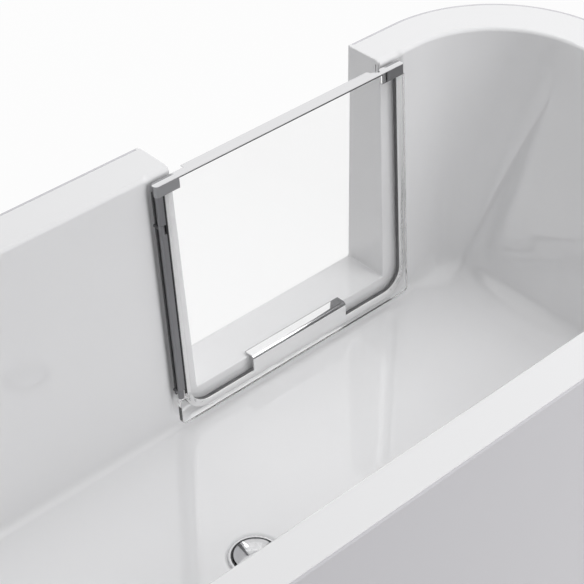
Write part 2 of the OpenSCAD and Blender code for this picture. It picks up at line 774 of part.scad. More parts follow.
// Ring nut that pulls the face and the body together
module overflow_nut() {
    y = shell_t + gasket_t + drum_front;
    color("lightgray") on_back_wall() translate([waste_x, y, -overflow_drop]) rotate([-90, 0, 0])
        difference() {
        cylinder(r = drum_r - 3 - gap, h = 5, $fn = 64);
        translate([0, 0, -over]) cylinder(r = overflow_tube_r + gap, h = 5 + 2 * over, $fn = 64);
    }
}

// Pipe from the overflow down behind the basin and under it to the trap
module overflow_pipe() {
    run_z = overflow_in_z + pipe_bend;
    y0 = waste_y + trap_r + 2;
    color("gray") {
        translate([waste_x, pipe_y, run_z]) difference() {
            cylinder(r = overflow_pipe_r, h = pipe_top_z - run_z, $fn = 48);
            translate([0, 0, -over]) cylinder(r = overflow_pipe_r - pipe_wall, h = pipe_top_z - run_z + 2 * over, $fn = 48);
        }
        translate([waste_x, pipe_y - pipe_bend, run_z]) rotate([0, 90, 0])
            rotate_extrude(angle = 90, $fn = 96) translate([pipe_bend, 0]) difference() {
                circle(overflow_pipe_r, $fn = 48);
                circle(overflow_pipe_r - pipe_wall, $fn = 48);
            }
        translate([waste_x, y0, overflow_in_z]) rotate([-90, 0, 0]) difference() {
            cylinder(r = overflow_pipe_r, h = pipe_y - pipe_bend - y0, $fn = 48);
            translate([0, 0, -over]) cylinder(r = overflow_pipe_r - pipe_wall, h = pipe_y - y0, $fn = 48);
        }
    }
}

// Round cover that the bather turns to lift the plug
module overflow_knob() {
    color("gainsboro") on_back_wall() translate([waste_x, -face_t - 1, -overflow_drop]) rotate([90, 0, 0])
        difference() {
            rotate_extrude($fn = 96) polygon([[0, 3], [knob_r - 6, 3], [knob_r - 4, 0], [knob_r, 0],
                [knob_r, 11], [knob_r - 3, 14], [0, 15]]);
            translate([0, 0, -over]) cylinder(r = spindle_r, h = 9, $fn = 48);
            for (a = [0, 180]) rotate([0, 0, a]) translate([knob_r + 9, 0, 4])
                cylinder(r = 14, h = 20, $fn = 64);
        }
}

module knob_spindle() {
    color("silver") on_back_wall() translate([waste_x, -face_t - 1 - 8, -overflow_drop])
        rotate([-90, 0, 0]) {
        cylinder(r = spindle_r, h = 30, $fn = 48);
        translate([0, 0, 30]) cylinder(r = 12, h = 3, $fn = 48);
    }
}

// Ring of points round a path point, square to the direction d
function ring(p, d, r, n) =
    let (u = cross(d, [1, 0, 0]) / norm(cross(d, [1, 0, 0])), v = cross(d, u))
    [for (i = [0:n - 1]) p + r * (cos(360 * i / n) * u + sin(360 * i / n) * v)];

// Tube swept along a list of points
module swept(path, r, n) {
    last = len(path) - 1;
    dirs = [for (i = [0:last]) let (d = path[min(i + 1, last)] - path[max(i - 1, 0)]) d / norm(d)];
    points = [for (i = [0:last], q = ring(path[i], dirs[i], r, n)) q];
    sides = [for (i = [0:last - 1], j = [0:n - 1]) let (k = (j + 1) % n)
        [i * n + j, (i + 1) * n + j, (i + 1) * n + k, i * n + k]];
    tris = [for (s = sides) each [[s[0], s[1], s[2]], [s[0], s[2], s[3]]]];
    caps = [[for (j = [0:n - 1]) j], [for (j = [n - 1:-1:0]) last * n + j]];
    polyhedron(points, concat(tris, caps));
}

module control_cable() {
    color("black") swept(cable_path, cable_r, 8);
}

// Knuckle round the hinge axis, on a stud that goes back through the basin wall
module hinge_bracket(top) {
    mid = top - knuckle_l / 2;
    color("silver") on_door_wall() difference() {
        union() {
            translate([axis_x, axis_y, top - knuckle_l]) cylinder(r = profile_r, h = knuckle_l, $fn = 48);
            translate([axis_x, axis_y, mid]) rotate([90, 0, 0])
                cylinder(r = bracket_stud_r, h = axis_y + pocket_d + shell_t + 8, $fn = 32);
        }
        translate([axis_x, axis_y, top - knuckle_l - over])
            cylinder(r = pin_r, h = knuckle_l + 2 * over, $fn = 48);
    }
}

module hinge_bracket_upper() { hinge_bracket(upper_knuckle_z); }
module hinge_bracket_lower() { hinge_bracket(lower_knuckle_z); }

// Dark strip along the pocket floor, with the brackets' studs through it
module hinge_base() {
    color("dimgray") on_door_wall() difference() {
        translate([base_x, -pocket_d, hook_z]) cube([base_w, base_t, block_z - gap - hook_z]);
        for (z = [upper_knuckle_z - knuckle_l / 2, lower_knuckle_z - knuckle_l / 2])
            translate([axis_x, over, z]) rotate([90, 0, 0])
                cylinder(r = bracket_stud_r, h = pocket_d + 2 * over, $fn = 32);
    }
}

module hinge_pins() {
    color("gray") on_door_wall() {
        translate([axis_x, axis_y, upper_knuckle_z - knuckle_l - bush_l])
            cylinder(r = pin_r, h = knuckle_l + 2 * bush_l, $fn = 48);
        translate([axis_x, axis_y, lower_knuckle_z - knuckle_l])
            cylinder(r = pin_r, h = knuckle_l + bush_l, $fn = 48);
    }
}

// Nuts behind the wall on the brackets' studs
module bracket_nuts() {
    color("silver") on_door_wall()
        for (z = [upper_knuckle_z - knuckle_l / 2, lower_knuckle_z - knuckle_l / 2])
            translate([axis_x, -pocket_d - shell_t, z]) rotate([90, 0, 0]) difference() {
                cylinder(r = bracket_stud_r + 3.5, h = 5, $fn = 6);
                translate([0, 0, -over]) cylinder(r = bracket_stud_r, h = 5 + 2 * over, $fn = 32);
            }
}

// Post on the pocket floor whose lip holds the hook
module keeper() {
    z = (hook_z0 + hook_z1) / 2 - keeper_h / 2;
    lip_y = barb_y + barb_d + lip_gap;
    color("white") on_door_wall() {
        translate([post_x - keeper_base_l, -pocket_d, z]) cube([keeper_base_l, keeper_base_t, keeper_h]);
        translate([post_x - post_t, -pocket_d, z]) cube([post_t, pocket_d + lip_y + lip_d, keeper_h]);
        translate([post_x - post_t, lip_y, z]) cube([post_t + lip_x - post_x, lip_d, keeper_h]);
    }
}

// Clear pane, notched at both top corners for the blocks and at the hinge profile
module door_glass() {
    r = 9;
    low = glass_bottom;
    color([0.8, 0.9, 0.88, 0.4]) on_door_wall() translate([0, glass_front, 0]) rotate([90, 0, 0])
        linear_extrude(glass_t) {
            translate([glass_latch_x, low + r]) square([glass_edge_x - glass_latch_x, block_z - low - r]);
            translate([glass_latch_x + r, low]) square([glass_hook_x - glass_latch_x - 2 * r, 2 * r]);
            translate([glass_edge_x - over, low + r])
                square([glass_hook_x - glass_edge_x + over, hook_z - low - r]);
            translate([button_end_x + gap, block_z - over])
                square([block_end_x - button_end_x - gap, rail_z - strip_h - block_z + over]);
            for (x = [glass_latch_x + r, glass_hook_x - r]) translate([x, low + r]) circle(r, $fn = 48);
        }
}

// Flat polished rail: round over the hinge, deeper along the grip, notched at the latch
module top_rail() {
    step = rail_grip_d - rail_end_d;
    wave = [[0, -step], [1.6, -step + 0.5], [2.6, -step + 1.7], [3, -step + 3.4], [3.2, -step + 5.2],
        [3.7, -step + 6.8], [4.8, -step + 8], [6.6, -step + 8.8], [8.6, -step + 9.8], [10.4, -step + 11.4],
        [12.2, -step + 13.4], [14.4, -step + 15], [16, -step + 15.6], [17.6, -step + 15],
        [19.6, -step + 11.4],
        [21.8, 0]];
    color("gainsboro") on_door_wall() translate([0, 0, rail_z]) {
        translate([axis_x, axis_y]) cylinder(r = rail_end_d / 2, h = rail_t, $fn = 64);
        linear_extrude(rail_t) polygon(concat([[latch_end_x, rail_back], [latch_end_x, rail_front],
            [axis_x, rail_front],
            [axis_x, rail_back], [grip_start_x, rail_back], [grip_start_x, rail_back - step]],
            [for (p = wave) [grip_end_x - p[0], rail_back + p[1]]]));
    }
}

// Black strip that beds the rail on the glass between the blocks
module rail_gasket() {
    color("black") on_door_wall() translate([button_end_x + gap, glass_y, rail_z - strip_h])
        cube([block_end_x - button_end_x - gap, glass_t, strip_h]);
}

// Block that carries the rail and the glass over the hinge axis
module hinge_block() {
    color("gray") on_door_wall() difference() {
        translate([0, 0, block_z]) linear_extrude(block_h) {
            translate([block_end_x, block_back]) square([axis_x - block_end_x, 2 * block_r]);
            translate([axis_x, axis_y]) circle(block_r, $fn = 64);
        }
        for (x = [axis_x, block_end_x + 8]) translate([x, axis_y, block_z + block_h / 2])
            cylinder(r = 2, h = block_h, $fn = 32);
    }
}

// Strip along the hinge profile's face, let out in front by the value given
module edge_groove(front) {
    translate([gasket_x, glass_front - edge_gasket_t, profile_z])
        cube([edge_gasket_w, edge_gasket_t + front, profile_l]);
}

// Black gasket in the profile's groove
module edge_gasket() {
    color("black") on_door_wall() edge_groove(0);
}

// Extruded profile bonded to the glass edge, open round the upper knuckle
module hinge_profile() {
    color("silver") on_door_wall() difference() {
        union() {
            translate([axis_x, axis_y, profile_z]) cylinder(r = profile_r, h = profile_l, $fn = 64);
            translate([glass_edge_x, glass_y, profile_z]) cube([axis_x - glass_edge_x, glass_t, profile_l]);
        }
        edge_groove(over);
        translate([axis_x, axis_y, upper_knuckle_z - knuckle_l - gap])
            cylinder(r = profile_r + knuckle_gap, h = knuckle_l + 2 * gap, $fn = 64);
        translate([axis_x, glass_y - over, upper_knuckle_z - knuckle_l - gap])
            cube([profile_r + over, glass_t + 2 * over, knuckle_l + 2 * gap]);
        translate([axis_x - profile_r - knuckle_gap, glass_y - over, upper_knuckle_z - knuckle_l - gap])
            cube([profile_r + knuckle_gap, glass_t + 2 * over, knuckle_l + 2 * gap]);
        translate([axis_x, axis_y, upper_knuckle_z - knuckle_l - bush_l - over])
            cylinder(r = bush_r, h = knuckle_l + 2 * bush_l + 2 * over, $fn = 48);
        translate([axis_x, axis_y, profile_z - over]) cylinder(r = bush_r, h = bush_l + 2 * over, $fn = 48);
    }
}

module bush() {
    difference() {
        cylinder(r = bush_r, h = bush_l - gap, $fn = 48);
        translate([0, 0, -over]) cylinder(r = pin_r + run, h = bush_l + 2 * over, $fn = 48);
    }
}

module hinge_bushes() {
    color("ivory") on_door_wall() {
        translate([axis_x, axis_y, upper_knuckle_z + gap]) bush();
        translate([axis_x, axis_y, upper_knuckle_z - knuckle_l - bush_l]) bush();
        translate([axis_x, axis_y, profile_z]) bush();
    }
}

// Screws under the rail that hold it to the hinge block
module rail_screws() {
    color("silver") on_door_wall() for (x = [axis_x, block_end_x + 8])
        translate([x, axis_y, block_z + block_h / 2]) cylinder(r = 2, h = block_h / 2 - 0.01, $fn = 32);
}

// U-shaped outline of the seal, seen square to the glass
module seal_outline(inset, w, top) {
    r = seal_r - inset;
    x0 = seal_out_latch + inset;
    x1 = seal_out_hinge - inset;
    low = seal_bottom + inset;
    difference() {
        union() {
            translate([x0, low + r]) square([x1 - x0, top - low - r]);
            translate([x0 + r, low]) square([x1 - x0 - 2 * r, r + over]);
            for (x = [x0 + r, x1 - r]) translate([x, low + r]) circle(r, $fn = 96);
        }
        translate([x0 + w, low + r]) square([x1 - x0 - 2 * w, top - low - r + over]);
        translate([x0 + r, low + w]) square([x1 - x0 - 2 * r, r - w + over]);
        for (x = [x0 + r, x1 - r]) translate([x, low + r]) circle(r - w, $fn = 96);
    }
}

// Metal frame bonded behind the glass, with the grip's plate standing up from its foot
module seal_frame() {
    plate_top = grip_z - grip_bend;
    color("lightgray") on_door_wall() translate([0, glass_y, 0]) rotate([90, 0, 0])
        linear_extrude(seal_frame_t) {
        seal_outline(0, seal_w, seal_top);
        translate([grip_mid_x - grip_l / 2, seal_bottom + over])
            square([grip_l, plate_top - seal_bottom - over]);
    }
}

// Rubber seal: a deep body behind the frame and a thin lip that reaches the pocket floor
module door_seal() {
    color("dimgray") on_door_wall() {
        translate([0, frame_back, 0]) rotate([90, 0, 0])
            linear_extrude(frame_back + pocket_d - gap - seal_lip_d) seal_outline(0, seal_w, seal_top);
        translate([0, -pocket_d + gap + seal_lip_d + 0.01, 0]) rotate([90, 0, 0])
            linear_extrude(seal_lip_d + 0.01) seal_outline(0, seal_lip_w, seal_top);
    }
}

// Rolled lip along the plate's top edge that a hand takes hold of
module grip_lip() {
    bend_y = glass_y - grip_bend;
    bend_z = grip_z - grip_bend;
    edge_y = glass_y - grip_reach;
    color("gainsboro") on_door_wall() translate([grip_mid_x - grip_l / 2, 0, 0])
        rotate([90, 0, 90]) linear_extrude(grip_l) {
            intersection() {
                translate([bend_y, bend_z]) difference() {
                    circle(grip_bend, $fn = 64);
                    circle(grip_bend - grip_t, $fn = 64);
                }
                translate([bend_y, bend_z]) square(grip_bend + over);
            }
            translate([edge_y + hook_r, grip_z - grip_t]) square([bend_y - edge_y - hook_r + 0.01, grip_t]);
            intersection() {
                translate([edge_y + hook_r, grip_z - hook_r]) difference() {
                    circle(hook_r, $fn = 48);
                    circle(hook_r - grip_t, $fn = 48);
                }
                translate([edge_y - over, grip_z - hook_r]) square([hook_r + over, hook_r + over]);
            }
        }
}

// Block at the rail's latch end, with a slot for the hook's tail
module latch_housing() {
    color("dimgray") on_door_wall() difference() {
        translate([latch_end_x, block_back, block_z]) cube([latch_block_l, 2 * block_r, block_h]);
        translate([latch_end_x + 2, hook_y0 - gap, hook_z0 - gap])
            cube([latch_block_l, hook_y1 - hook_y0 + 2 * gap, hook_t + 2 * gap]);
        translate([stem_x - latch_travel - gap, block_back - over, hook_z0 - gap])
            cube([latch_block_l, latch_wall + 2 * over, hook_t + 2 * gap]);
    }
}

// Push button with a rounded end
module latch_button() {
    color("darkgray") on_door_wall() translate([0, 0, block_z]) linear_extrude(block_h) {
        translate([button_x, block_back]) square([button_end_x - block_r - button_x, 2 * block_r]);
        intersection() {
            translate([button_end_x - block_r, axis_y]) circle(block_r, $fn = 64);
            translate([button_x, block_back]) square([2 * block_r, 2 * block_r]);
        }
    }
}

// Flat hook: tail in the housing, stem towards the wall and a barb that goes under the lip
module latch_hook() {
    color("dimgray") on_door_wall() translate([0, 0, hook_z0]) linear_extrude(hook_t) {
        translate([hook_tail_x, hook_y0]) square([button_x - hook_tail_x, hook_y1 - hook_y0]);
        translate([stem_x, barb_y]) square([stem_w, hook_y0 + over - barb_y]);
        translate([barb_x, barb_y]) square([barb_l + over, barb_d]);
    }
}

tub_shell();
front_apron();
wall_panel();
end_panel();
panel_brackets();
panel_screws();
floor_board();
leg_bar_1();
leg_bar_2();
leg_bar_3();
bar_screws();
foot_nuts();
lock_nuts();
foot_1();
foot_2();
foot_3();
foot_4();
foot_5();
foot_6();
waste_flange();
waste_gasket();
trap_body();
trap_cap();
outlet_pipe();
plug_cap();
plug_seal();
plug_stem();
lift_lever();
lever_pin();
overflow_face();
overflow_gasket();
overflow_body();
overflow_nut();
overflow_pipe();
overflow_knob();
knob_spindle();
control_cable();
hinge_base();
hinge_bracket_upper();
hinge_bracket_lower();
hinge_pins();
bracket_nuts();
keeper();
door_glass();
top_rail();
hinge_block();
hinge_profile();
hinge_bushes();
rail_screws();
rail_gasket();
edge_gasket();
seal_frame();
door_seal();
grip_lip();
latch_housing();
latch_button();
latch_hook();
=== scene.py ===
# %% [markdown]
# A step-in bathtub with a low glass door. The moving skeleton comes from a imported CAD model, and this
# lesson dresses it: a smooth acrylic shell, polished and satin metal, clear glass and dark rubber.
# Lengths are written in millimetres and turned into Blender's metres by one factor.

# %% Load the frame
import json
import math

import bmesh
import bpy
from mathutils import Matrix, Vector


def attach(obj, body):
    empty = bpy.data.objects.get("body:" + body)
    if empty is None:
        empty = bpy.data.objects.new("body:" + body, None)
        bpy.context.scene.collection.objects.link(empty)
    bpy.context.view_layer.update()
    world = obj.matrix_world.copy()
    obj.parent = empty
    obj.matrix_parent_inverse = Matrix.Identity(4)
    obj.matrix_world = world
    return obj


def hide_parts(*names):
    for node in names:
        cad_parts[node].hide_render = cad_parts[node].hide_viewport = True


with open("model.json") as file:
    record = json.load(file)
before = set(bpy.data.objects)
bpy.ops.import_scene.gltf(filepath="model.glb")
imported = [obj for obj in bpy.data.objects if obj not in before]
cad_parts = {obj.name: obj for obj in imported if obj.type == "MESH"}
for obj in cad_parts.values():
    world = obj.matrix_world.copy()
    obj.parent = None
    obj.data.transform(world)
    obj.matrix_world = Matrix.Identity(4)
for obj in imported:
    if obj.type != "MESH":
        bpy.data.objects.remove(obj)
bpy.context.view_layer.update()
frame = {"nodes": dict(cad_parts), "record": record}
MM = 0.001

# %% [markdown]
# The tub's main sizes. They repeat the CAD model's, because every dressed piece has to lie on its solid.
# The two long walls lean by 2.445 degrees and the end walls by 13.7 degrees.

# %% Sizes of the tub
HALF_L, HALF_W, RIM_Z, FLOOR_Z = 900.0, 400.0, 600.0, 124.0
SHELL, PANEL, SKIRT, SKIRT_H = 8.0, 4.0, 6.0, 40.0
SIDE_TILT, END_TILT = math.radians(2.445), math.radians(13.7)
TOP_X, TOP_FRONT, TOP_BACK = 821.0, -324.0, 334.0
OUTER_R, ROUND_R, CORNER_R = 240.0, 180.0, 120.0
FOOT_R, END_FOOT_R = 14.0, 50.0
END_FOOT_Z = FLOOR_Z + END_FOOT_R
END_FOOT_X = TOP_X - (RIM_Z - END_FOOT_Z) * math.tan(END_TILT) - END_FOOT_R / math.cos(END_TILT)
FOOT_X = END_FOOT_X - END_FOOT_R
WASTE_X, WASTE_Y = 12.0, -5.0
OVERFLOW_Z, OVERFLOW_R = -110.0, 23.0
RIM_R, DOOR_RIM_R = 6.5, 13.0
print("end fillet centre at x", round(END_FOOT_X, 1))

# %% [markdown]
# The doorway and what hangs in it are measured from the doorway's two jambs. The glass closes into a
# shallow pocket in the wall, and two studs hold the hinge beside it.

# %% Sizes of the doorway
DOOR_X, DOOR_W, JAMB_LEAN, SILL_Z, SILL_R = -340.0, 430.5, 5.0, 179.0, 2.5
HINGE_JAMB, LATCH_JAMB = DOOR_X + DOOR_W / 2, DOOR_X - DOOR_W / 2
AXIS_X = HINGE_JAMB + 36.5
GLASS_END = LATCH_JAMB - 38.0
POCKET_D, POCKET_X0, POCKET_X1 = 5.0, GLASS_END - 3.0, AXIS_X + 2.5
STUD_ZS, STUD_R = (-87.5, -404.3), 3.3
print("jambs at x", HINGE_JAMB, "and", LATCH_JAMB)

# %% [markdown]
# The long walls lean, so a piece on one is awkward to place in upright coordinates. Each long wall gets
# a frame of its own: x along the tub, y square to the wall, and z = 0 at the rim.

# %% Frames of the long walls


def front_wall_y(z):
    return TOP_FRONT + (RIM_Z - z) * math.tan(SIDE_TILT)


def back_wall_y(z):
    return TOP_BACK - (RIM_Z - z) * math.tan(SIDE_TILT)


DOOR_WALL = Matrix.Translation((0, TOP_FRONT, RIM_Z)) @ Matrix.Rotation(SIDE_TILT, 4, "X")
BACK_WALL = Matrix.Translation((0, TOP_BACK, RIM_Z)) @ Matrix.Rotation(-SIDE_TILT, 4, "X")
FRONT_FOOT_Y = front_wall_y(END_FOOT_Z) + END_FOOT_R / math.cos(SIDE_TILT)
BACK_FOOT_Y = back_wall_y(END_FOOT_Z) - END_FOOT_R / math.cos(SIDE_TILT)
print("end fillets run from y", round(FRONT_FOOT_Y, 2), "to", round(BACK_FOOT_Y, 2))

# %% [markdown]
# The camera stands above the far long rim and looks down at the door, as in the photograph. Its place
# was fitted to the photograph, so it is written as a position, an azimuth, an elevation and a roll.

# %% Camera
CAM_AT = Vector((1.07788, 1.32258, 1.95734))
CAM_AZ, CAM_EL, CAM_ROLL = math.radians(138.992), math.radians(38.170), math.radians(-1.687)
FOCAL_PX, FRAME_PX, SENSOR = 1660.55, 584, 36.0
back = Vector((math.sin(CAM_AZ) * math.cos(CAM_EL), -math.cos(CAM_AZ) * math.cos(CAM_EL), math.sin(CAM_EL)))
level = Vector((math.cos(CAM_AZ), math.sin(CAM_AZ), 0))
lift = back.cross(level)
right = math.cos(CAM_ROLL) * level + math.sin(CAM_ROLL) * lift
up = math.cos(CAM_ROLL) * lift - math.sin(CAM_ROLL) * level
camera = bpy.data.objects.new("camera", bpy.data.cameras.new("camera"))
camera.data.sensor_width = SENSOR
camera.data.lens = FOCAL_PX / FRAME_PX * SENSOR
camera.matrix_world = Matrix.Translation(CAM_AT) @ Matrix((right, up, back)).transposed().to_4x4()
bpy.context.scene.collection.objects.link(camera)
bpy.context.scene.camera = camera
print("lens", round(camera.data.lens, 2), "mm")

# %% [markdown]
# Shader maths reads best as Python. This small class wraps a socket, and its operators add Math nodes,
# so a finish can be written as an expression.

# %% Sockets as numbers


class Sock:
    """A node socket that can be used in sums."""

    def __init__(self, tree, out):
        self.tree, self.out = tree, out

    def _math(self, op, *values, clamp=False):
        n = self.tree.nodes.new("ShaderNodeMath")
        n.operation, n.use_clamp = op, clamp
        for i, v in enumerate(values):
            if isinstance(v, Sock):
                self.tree.links.new(v.out, n.inputs[i])
            else:
                n.inputs[i].default_value = v
        return Sock(self.tree, n.outputs[0])

    def __add__(self, other):
        return self._math("ADD", self, other)

    def __radd__(self, other):
        return self._math("ADD", other, self)

    def __sub__(self, other):
        return self._math("SUBTRACT", self, other)

    def __rsub__(self, other):
        return self._math("SUBTRACT", other, self)

    def __mul__(self, other):
        return self._math("MULTIPLY", self, other)

    def __rmul__(self, other):
        return self._math("MULTIPLY", other, self)

    def clamp(self):
        return self._math("ADD", self, 0.0, clamp=True)


print("sockets can be added and multiplied")

# %% [markdown]
# Every other node comes from one call, which takes its type, its settings and its sockets. The same
# class serves the finishes, the floor and the world. A finish is a Principled shader with a few values
# set once, and noise in Object coordinates for whatever changes over its surface.

# %% Node trees and finishes


class Nodes:
    """A node tree that is built with one call for each node."""

    def __init__(self, tree):
        self.tree = tree

    def node(self, kind, settings=None, **sockets):
        """Adds a node, sets it up and feeds its sockets, by name or as i0, i1; gives its outputs by name."""
        n = self.tree.nodes.new("ShaderNode" + kind)
        for key, value in (settings or {}).items():
            setattr(n, key, value)
        for key, value in sockets.items():
            socket = n.inputs[int(key[1:]) if key[0] == "i" else key]
            if isinstance(value, Sock):
                self.tree.links.new(value.out, socket)
            else:
                socket.default_value = value
        return {o.name: Sock(self.tree, o) for o in n.outputs if o.enabled}

    def mix(self, mask, a, b):
        """Colour a where the mask is 0 and colour b where it is 1."""
        return self.node("Mix", {"data_type": "RGBA"}, i0=mask, i6=(*a, 1), i7=(*b, 1))["Result"]

    def seen_directly(self):
        """1 for what the camera sees, also in metal and through glass, and 0 for light on the object."""
        rays = self.node("LightPath")
        return (rays["Is Camera Ray"] + rays["Is Glossy Ray"] + rays["Is Transmission Ray"]).clamp()

    def surface(self, mask, plain, other):
        """Makes the tree's result a mix of two shaders."""
        both = self.node("MixShader", i0=mask, i1=plain, i2=other)["Shader"]
        end = next(n for n in self.tree.nodes if n.type.startswith("OUTPUT"))
        self.tree.links.new(both.out, end.inputs["Surface"])


class Finish(Nodes):
    """A material with one Principled shader."""

    def __init__(self, name, color, rough, metal=0.0, coat=0.0, spec=0.5, transmission=0.0, coat_rough=0.05):
        self.mat = bpy.data.materials.new(name)
        self.mat.use_nodes = True
        super().__init__(self.mat.node_tree)
        self.shader = self.tree.nodes["Principled BSDF"]
        self.plain = Sock(self.tree, self.shader.outputs[0])
        values = {"Base Color": (*color, 1), "Roughness": rough, "Metallic": metal, "IOR": 1.5,
                  "Coat Weight": coat, "Coat Roughness": coat_rough, "Specular IOR Level": spec,
                  "Transmission Weight": transmission}
        for key, value in values.items():
            self.shader.inputs[key].default_value = value
        self.place = self.node("TexCoord")["Object"]

    def noise(self, scale, detail=3.0, stretch=(1, 1, 1)):
        where = self.node("Mapping", i0=self.place, Scale=stretch)["Vector"]
        return self.node("TexNoise", Vector=where, Scale=scale, Detail=detail)["Fac"]

    def feed(self, socket, value):
        self.tree.links.new(value.out, self.shader.inputs[socket])

    def bump(self, height, strength, distance):
        self.feed("Normal", self.node("Bump", Height=height, Strength=strength, Distance=distance)["Normal"])


print("node helpers ready")

# %% [markdown]
# White sanitary acrylic is glossy, with a faint unevenness from thermoforming. One flat colour with a
# clear coat would do for a small piece, but on long walls it looks dead, so the roughness and a very low
# bump follow a broad noise. Plastics and rubber are duller, and a fine grain tells them from acrylic.

# %% Acrylic, plastics and board


def shaded(color, share):
    return tuple(c * share for c in color)


def acrylic(name, color):
    f = Finish(name, color, 0.05, coat=0.9, coat_rough=0.02)
    broad = f.noise(2.2, 2.0)
    fine = f.noise(160.0, 2.0)
    f.feed("Roughness", 0.035 + broad * 0.03 + fine * 0.01)
    f.feed("Base Color", f.mix(broad.clamp(), color, shaded(color, 0.985)))
    f.bump(f.noise(5.0, 1.0), 0.05, 0.001)
    return f.mat


def plastic(name, color, rough, grain=900.0, strength=0.15, spec=0.5):
    f = Finish(name, color, rough, spec=spec)
    grains = f.noise(grain, 4.0)
    cloud = f.noise(14.0, 3.0)
    f.feed("Roughness", (rough - 0.05) + grains * 0.08 + cloud * 0.04)
    f.feed("Base Color", f.mix(cloud.clamp(), color, shaded(color, 0.9)))
    f.bump(grains, strength, 0.0001)
    return f.mat


def chipboard(name):
    """Pressed chips, each with its own tone and a little relief."""
    f = Finish(name, (0.55, 0.40, 0.25), 0.7)
    chips = f.node("TexVoronoi", Vector=f.place, Scale=220.0)["Color"]
    tone = f.node("RGBToBW", Color=chips)["Val"]
    f.feed("Base Color", f.mix(tone.clamp(), (0.62, 0.46, 0.29), (0.36, 0.25, 0.15)))
    f.bump(tone, 0.3, 0.0004)
    return f.mat


ACRYLIC = acrylic("white_acrylic", (0.88, 0.88, 0.885))
# The panels' acrylic is the shell's white made darker and a little lilac: painted shade for the outer panels.
PANEL_ACRYLIC_SHADED = acrylic("white_panel_painted_shade", (0.64, 0.63, 0.66))
DARK_GREY = plastic("dark_grey_coating", (0.16, 0.16, 0.165), 0.38)
HOOK_STEEL = plastic("blackened_steel", (0.035, 0.035, 0.038), 0.35, spec=0.6)
RUBBER = plastic("black_rubber", (0.02, 0.02, 0.021), 0.6)
SEAL_RUBBER = plastic("seal_rubber", (0.03, 0.03, 0.033), 0.5, grain=500.0, spec=0.3)
PIPE_WHITE = plastic("white_pipe_plastic", (0.78, 0.78, 0.76), 0.42)
PIPE_GREY = plastic("grey_pipe_plastic", (0.25, 0.26, 0.27), 0.45)
FOOT_BLACK = plastic("black_foot_plastic", (0.03, 0.03, 0.032), 0.5)
BUSH = plastic("natural_acetal", (0.72, 0.70, 0.64), 0.4)
CABLE = plastic("cable_sleeve", (0.025, 0.025, 0.028), 0.45)
BOARD = chipboard("chipboard")
print("finishes so far:", len(bpy.data.materials))

# %% [markdown]
# Polished metal is smooth with a trace of wiping marks. Satin metal has fine lines along the profile,
# which a noise stretched along one axis gives without any picture.

# %% Plain metals


def metal(name, color, rough, lines=(1, 1, 1), grain=400.0, wear=0.06, depth=0.00004, share=1.0):
    f = Finish(name, color, rough, metal=share)
    marks = f.noise(grain, 3.0, lines)
    smear = f.noise(9.0, 3.0)
    f.feed("Roughness", (rough - wear * 0.5) + marks * wear * 0.6 + smear * wear * 0.4)
    f.feed("Base Color", f.mix(smear.clamp(), color, shaded(color, 0.97)))
    f.bump(marks, 0.03, depth)
    return f.mat


UPRIGHT = (1, 1, 0.02)
POLISHED = metal("polished_metal", (0.80, 0.80, 0.815), 0.05, wear=0.03)
CHROME = metal("chrome_plate", (0.82, 0.83, 0.845), 0.06, wear=0.04)
CAP = metal("plug_chrome", (0.62, 0.62, 0.63), 0.05, wear=0.03)
SATIN_ALU = metal("satin_aluminium", (0.88, 0.88, 0.885), 0.3, lines=UPRIGHT, grain=700.0)
# The hinge's aluminium is written dark as painted shade for the narrow slot between the glass edge and the
# wall.
ALU_PAINTED_DARK = metal("aluminium_with_painted_shade", (0.27, 0.27, 0.28), 0.3, lines=UPRIGHT, grain=700.0)
SATIN_GREY = metal("satin_grey", (0.42, 0.42, 0.43), 0.34, lines=(0.05, 1, 1), grain=600.0, wear=0.1)
FRAME_WHITE = metal("bright_satin_frame", (0.98, 0.98, 0.98), 0.5, grain=300.0, wear=0.03, depth=0.00001,
                    share=0.1)
STAINLESS = metal("stainless_steel", (0.60, 0.60, 0.61), 0.25, lines=(1, 1, 0.05))
ZINC = metal("zinc_plate", (0.55, 0.56, 0.58), 0.38, grain=120.0, wear=0.16)
BRASS = metal("machined_brass", (0.72, 0.55, 0.26), 0.28)
print("finishes so far:", len(bpy.data.materials))

# %% [markdown]
# Four metal pieces have painted light and shade in their colour. The rail has a painted grey reflection
# behind a fold at its ends, the grip has a painted dark reflection along its curled lip and painted shade
# on its back edge and underside, the latch button has painted shade on its end, and the waste has painted
# shade in its well. A render could leave all that to the room, but this room is plain white, so each
# painted tone follows its place on the piece.

# %% Metals with painted reflections and shade
# The lip from its back to its front edge, its height and its underside, all in the door wall's frame
LIP_BACK, LIP_FRONT, LIP_Z, LIP_UNDER_Z = -14.3, 8.2, -415.0, -418.0
# Where the painted dark reflection starts on the lip, and how far it runs towards the latch
DARK_REFLECTION_X, DARK_REFLECTION_L = DOOR_X + 37.0, 146.0
RAIL_FOLD_Y, RAIL_FOLD_Z = 9.5, -8.0
BUTTON_END_X = LATCH_JAMB + 11.3
WELL_R = 36.5


def rail_metal(name):
    """Polished metal with a painted grey reflection behind a fold line, at the two ends beside the rim."""
    bright, painted_reflection_grey = (0.77, 0.77, 0.78), (0.34, 0.34, 0.35)
    f = Finish(name, bright, 0.1, metal=1.0)
    axes = f.node("SeparateXYZ", Vector=f.place)
    fold, inner = (DOOR_WALL @ Vector((x, RAIL_FOLD_Y, RAIL_FOLD_Z)) * MM for x in (HINGE_JAMB, LATCH_JAMB))
    reflection_behind_fold = ((fold.y - axes["Y"]) * 1500.0).clamp()
    reflection_at_ends = ((axes["X"] - fold.x) * 150.0).clamp() + ((inner.x - axes["X"]) * 150.0).clamp()
    # Painted reflection: the top behind the fold is grey at the rail's two ends.
    f.feed("Base Color", f.mix(reflection_behind_fold * reflection_at_ends, bright, painted_reflection_grey))
    f.feed("Roughness", 0.08 + f.noise(60.0, 2.0, (0.05, 1, 1)) * 0.06)
    return f.mat


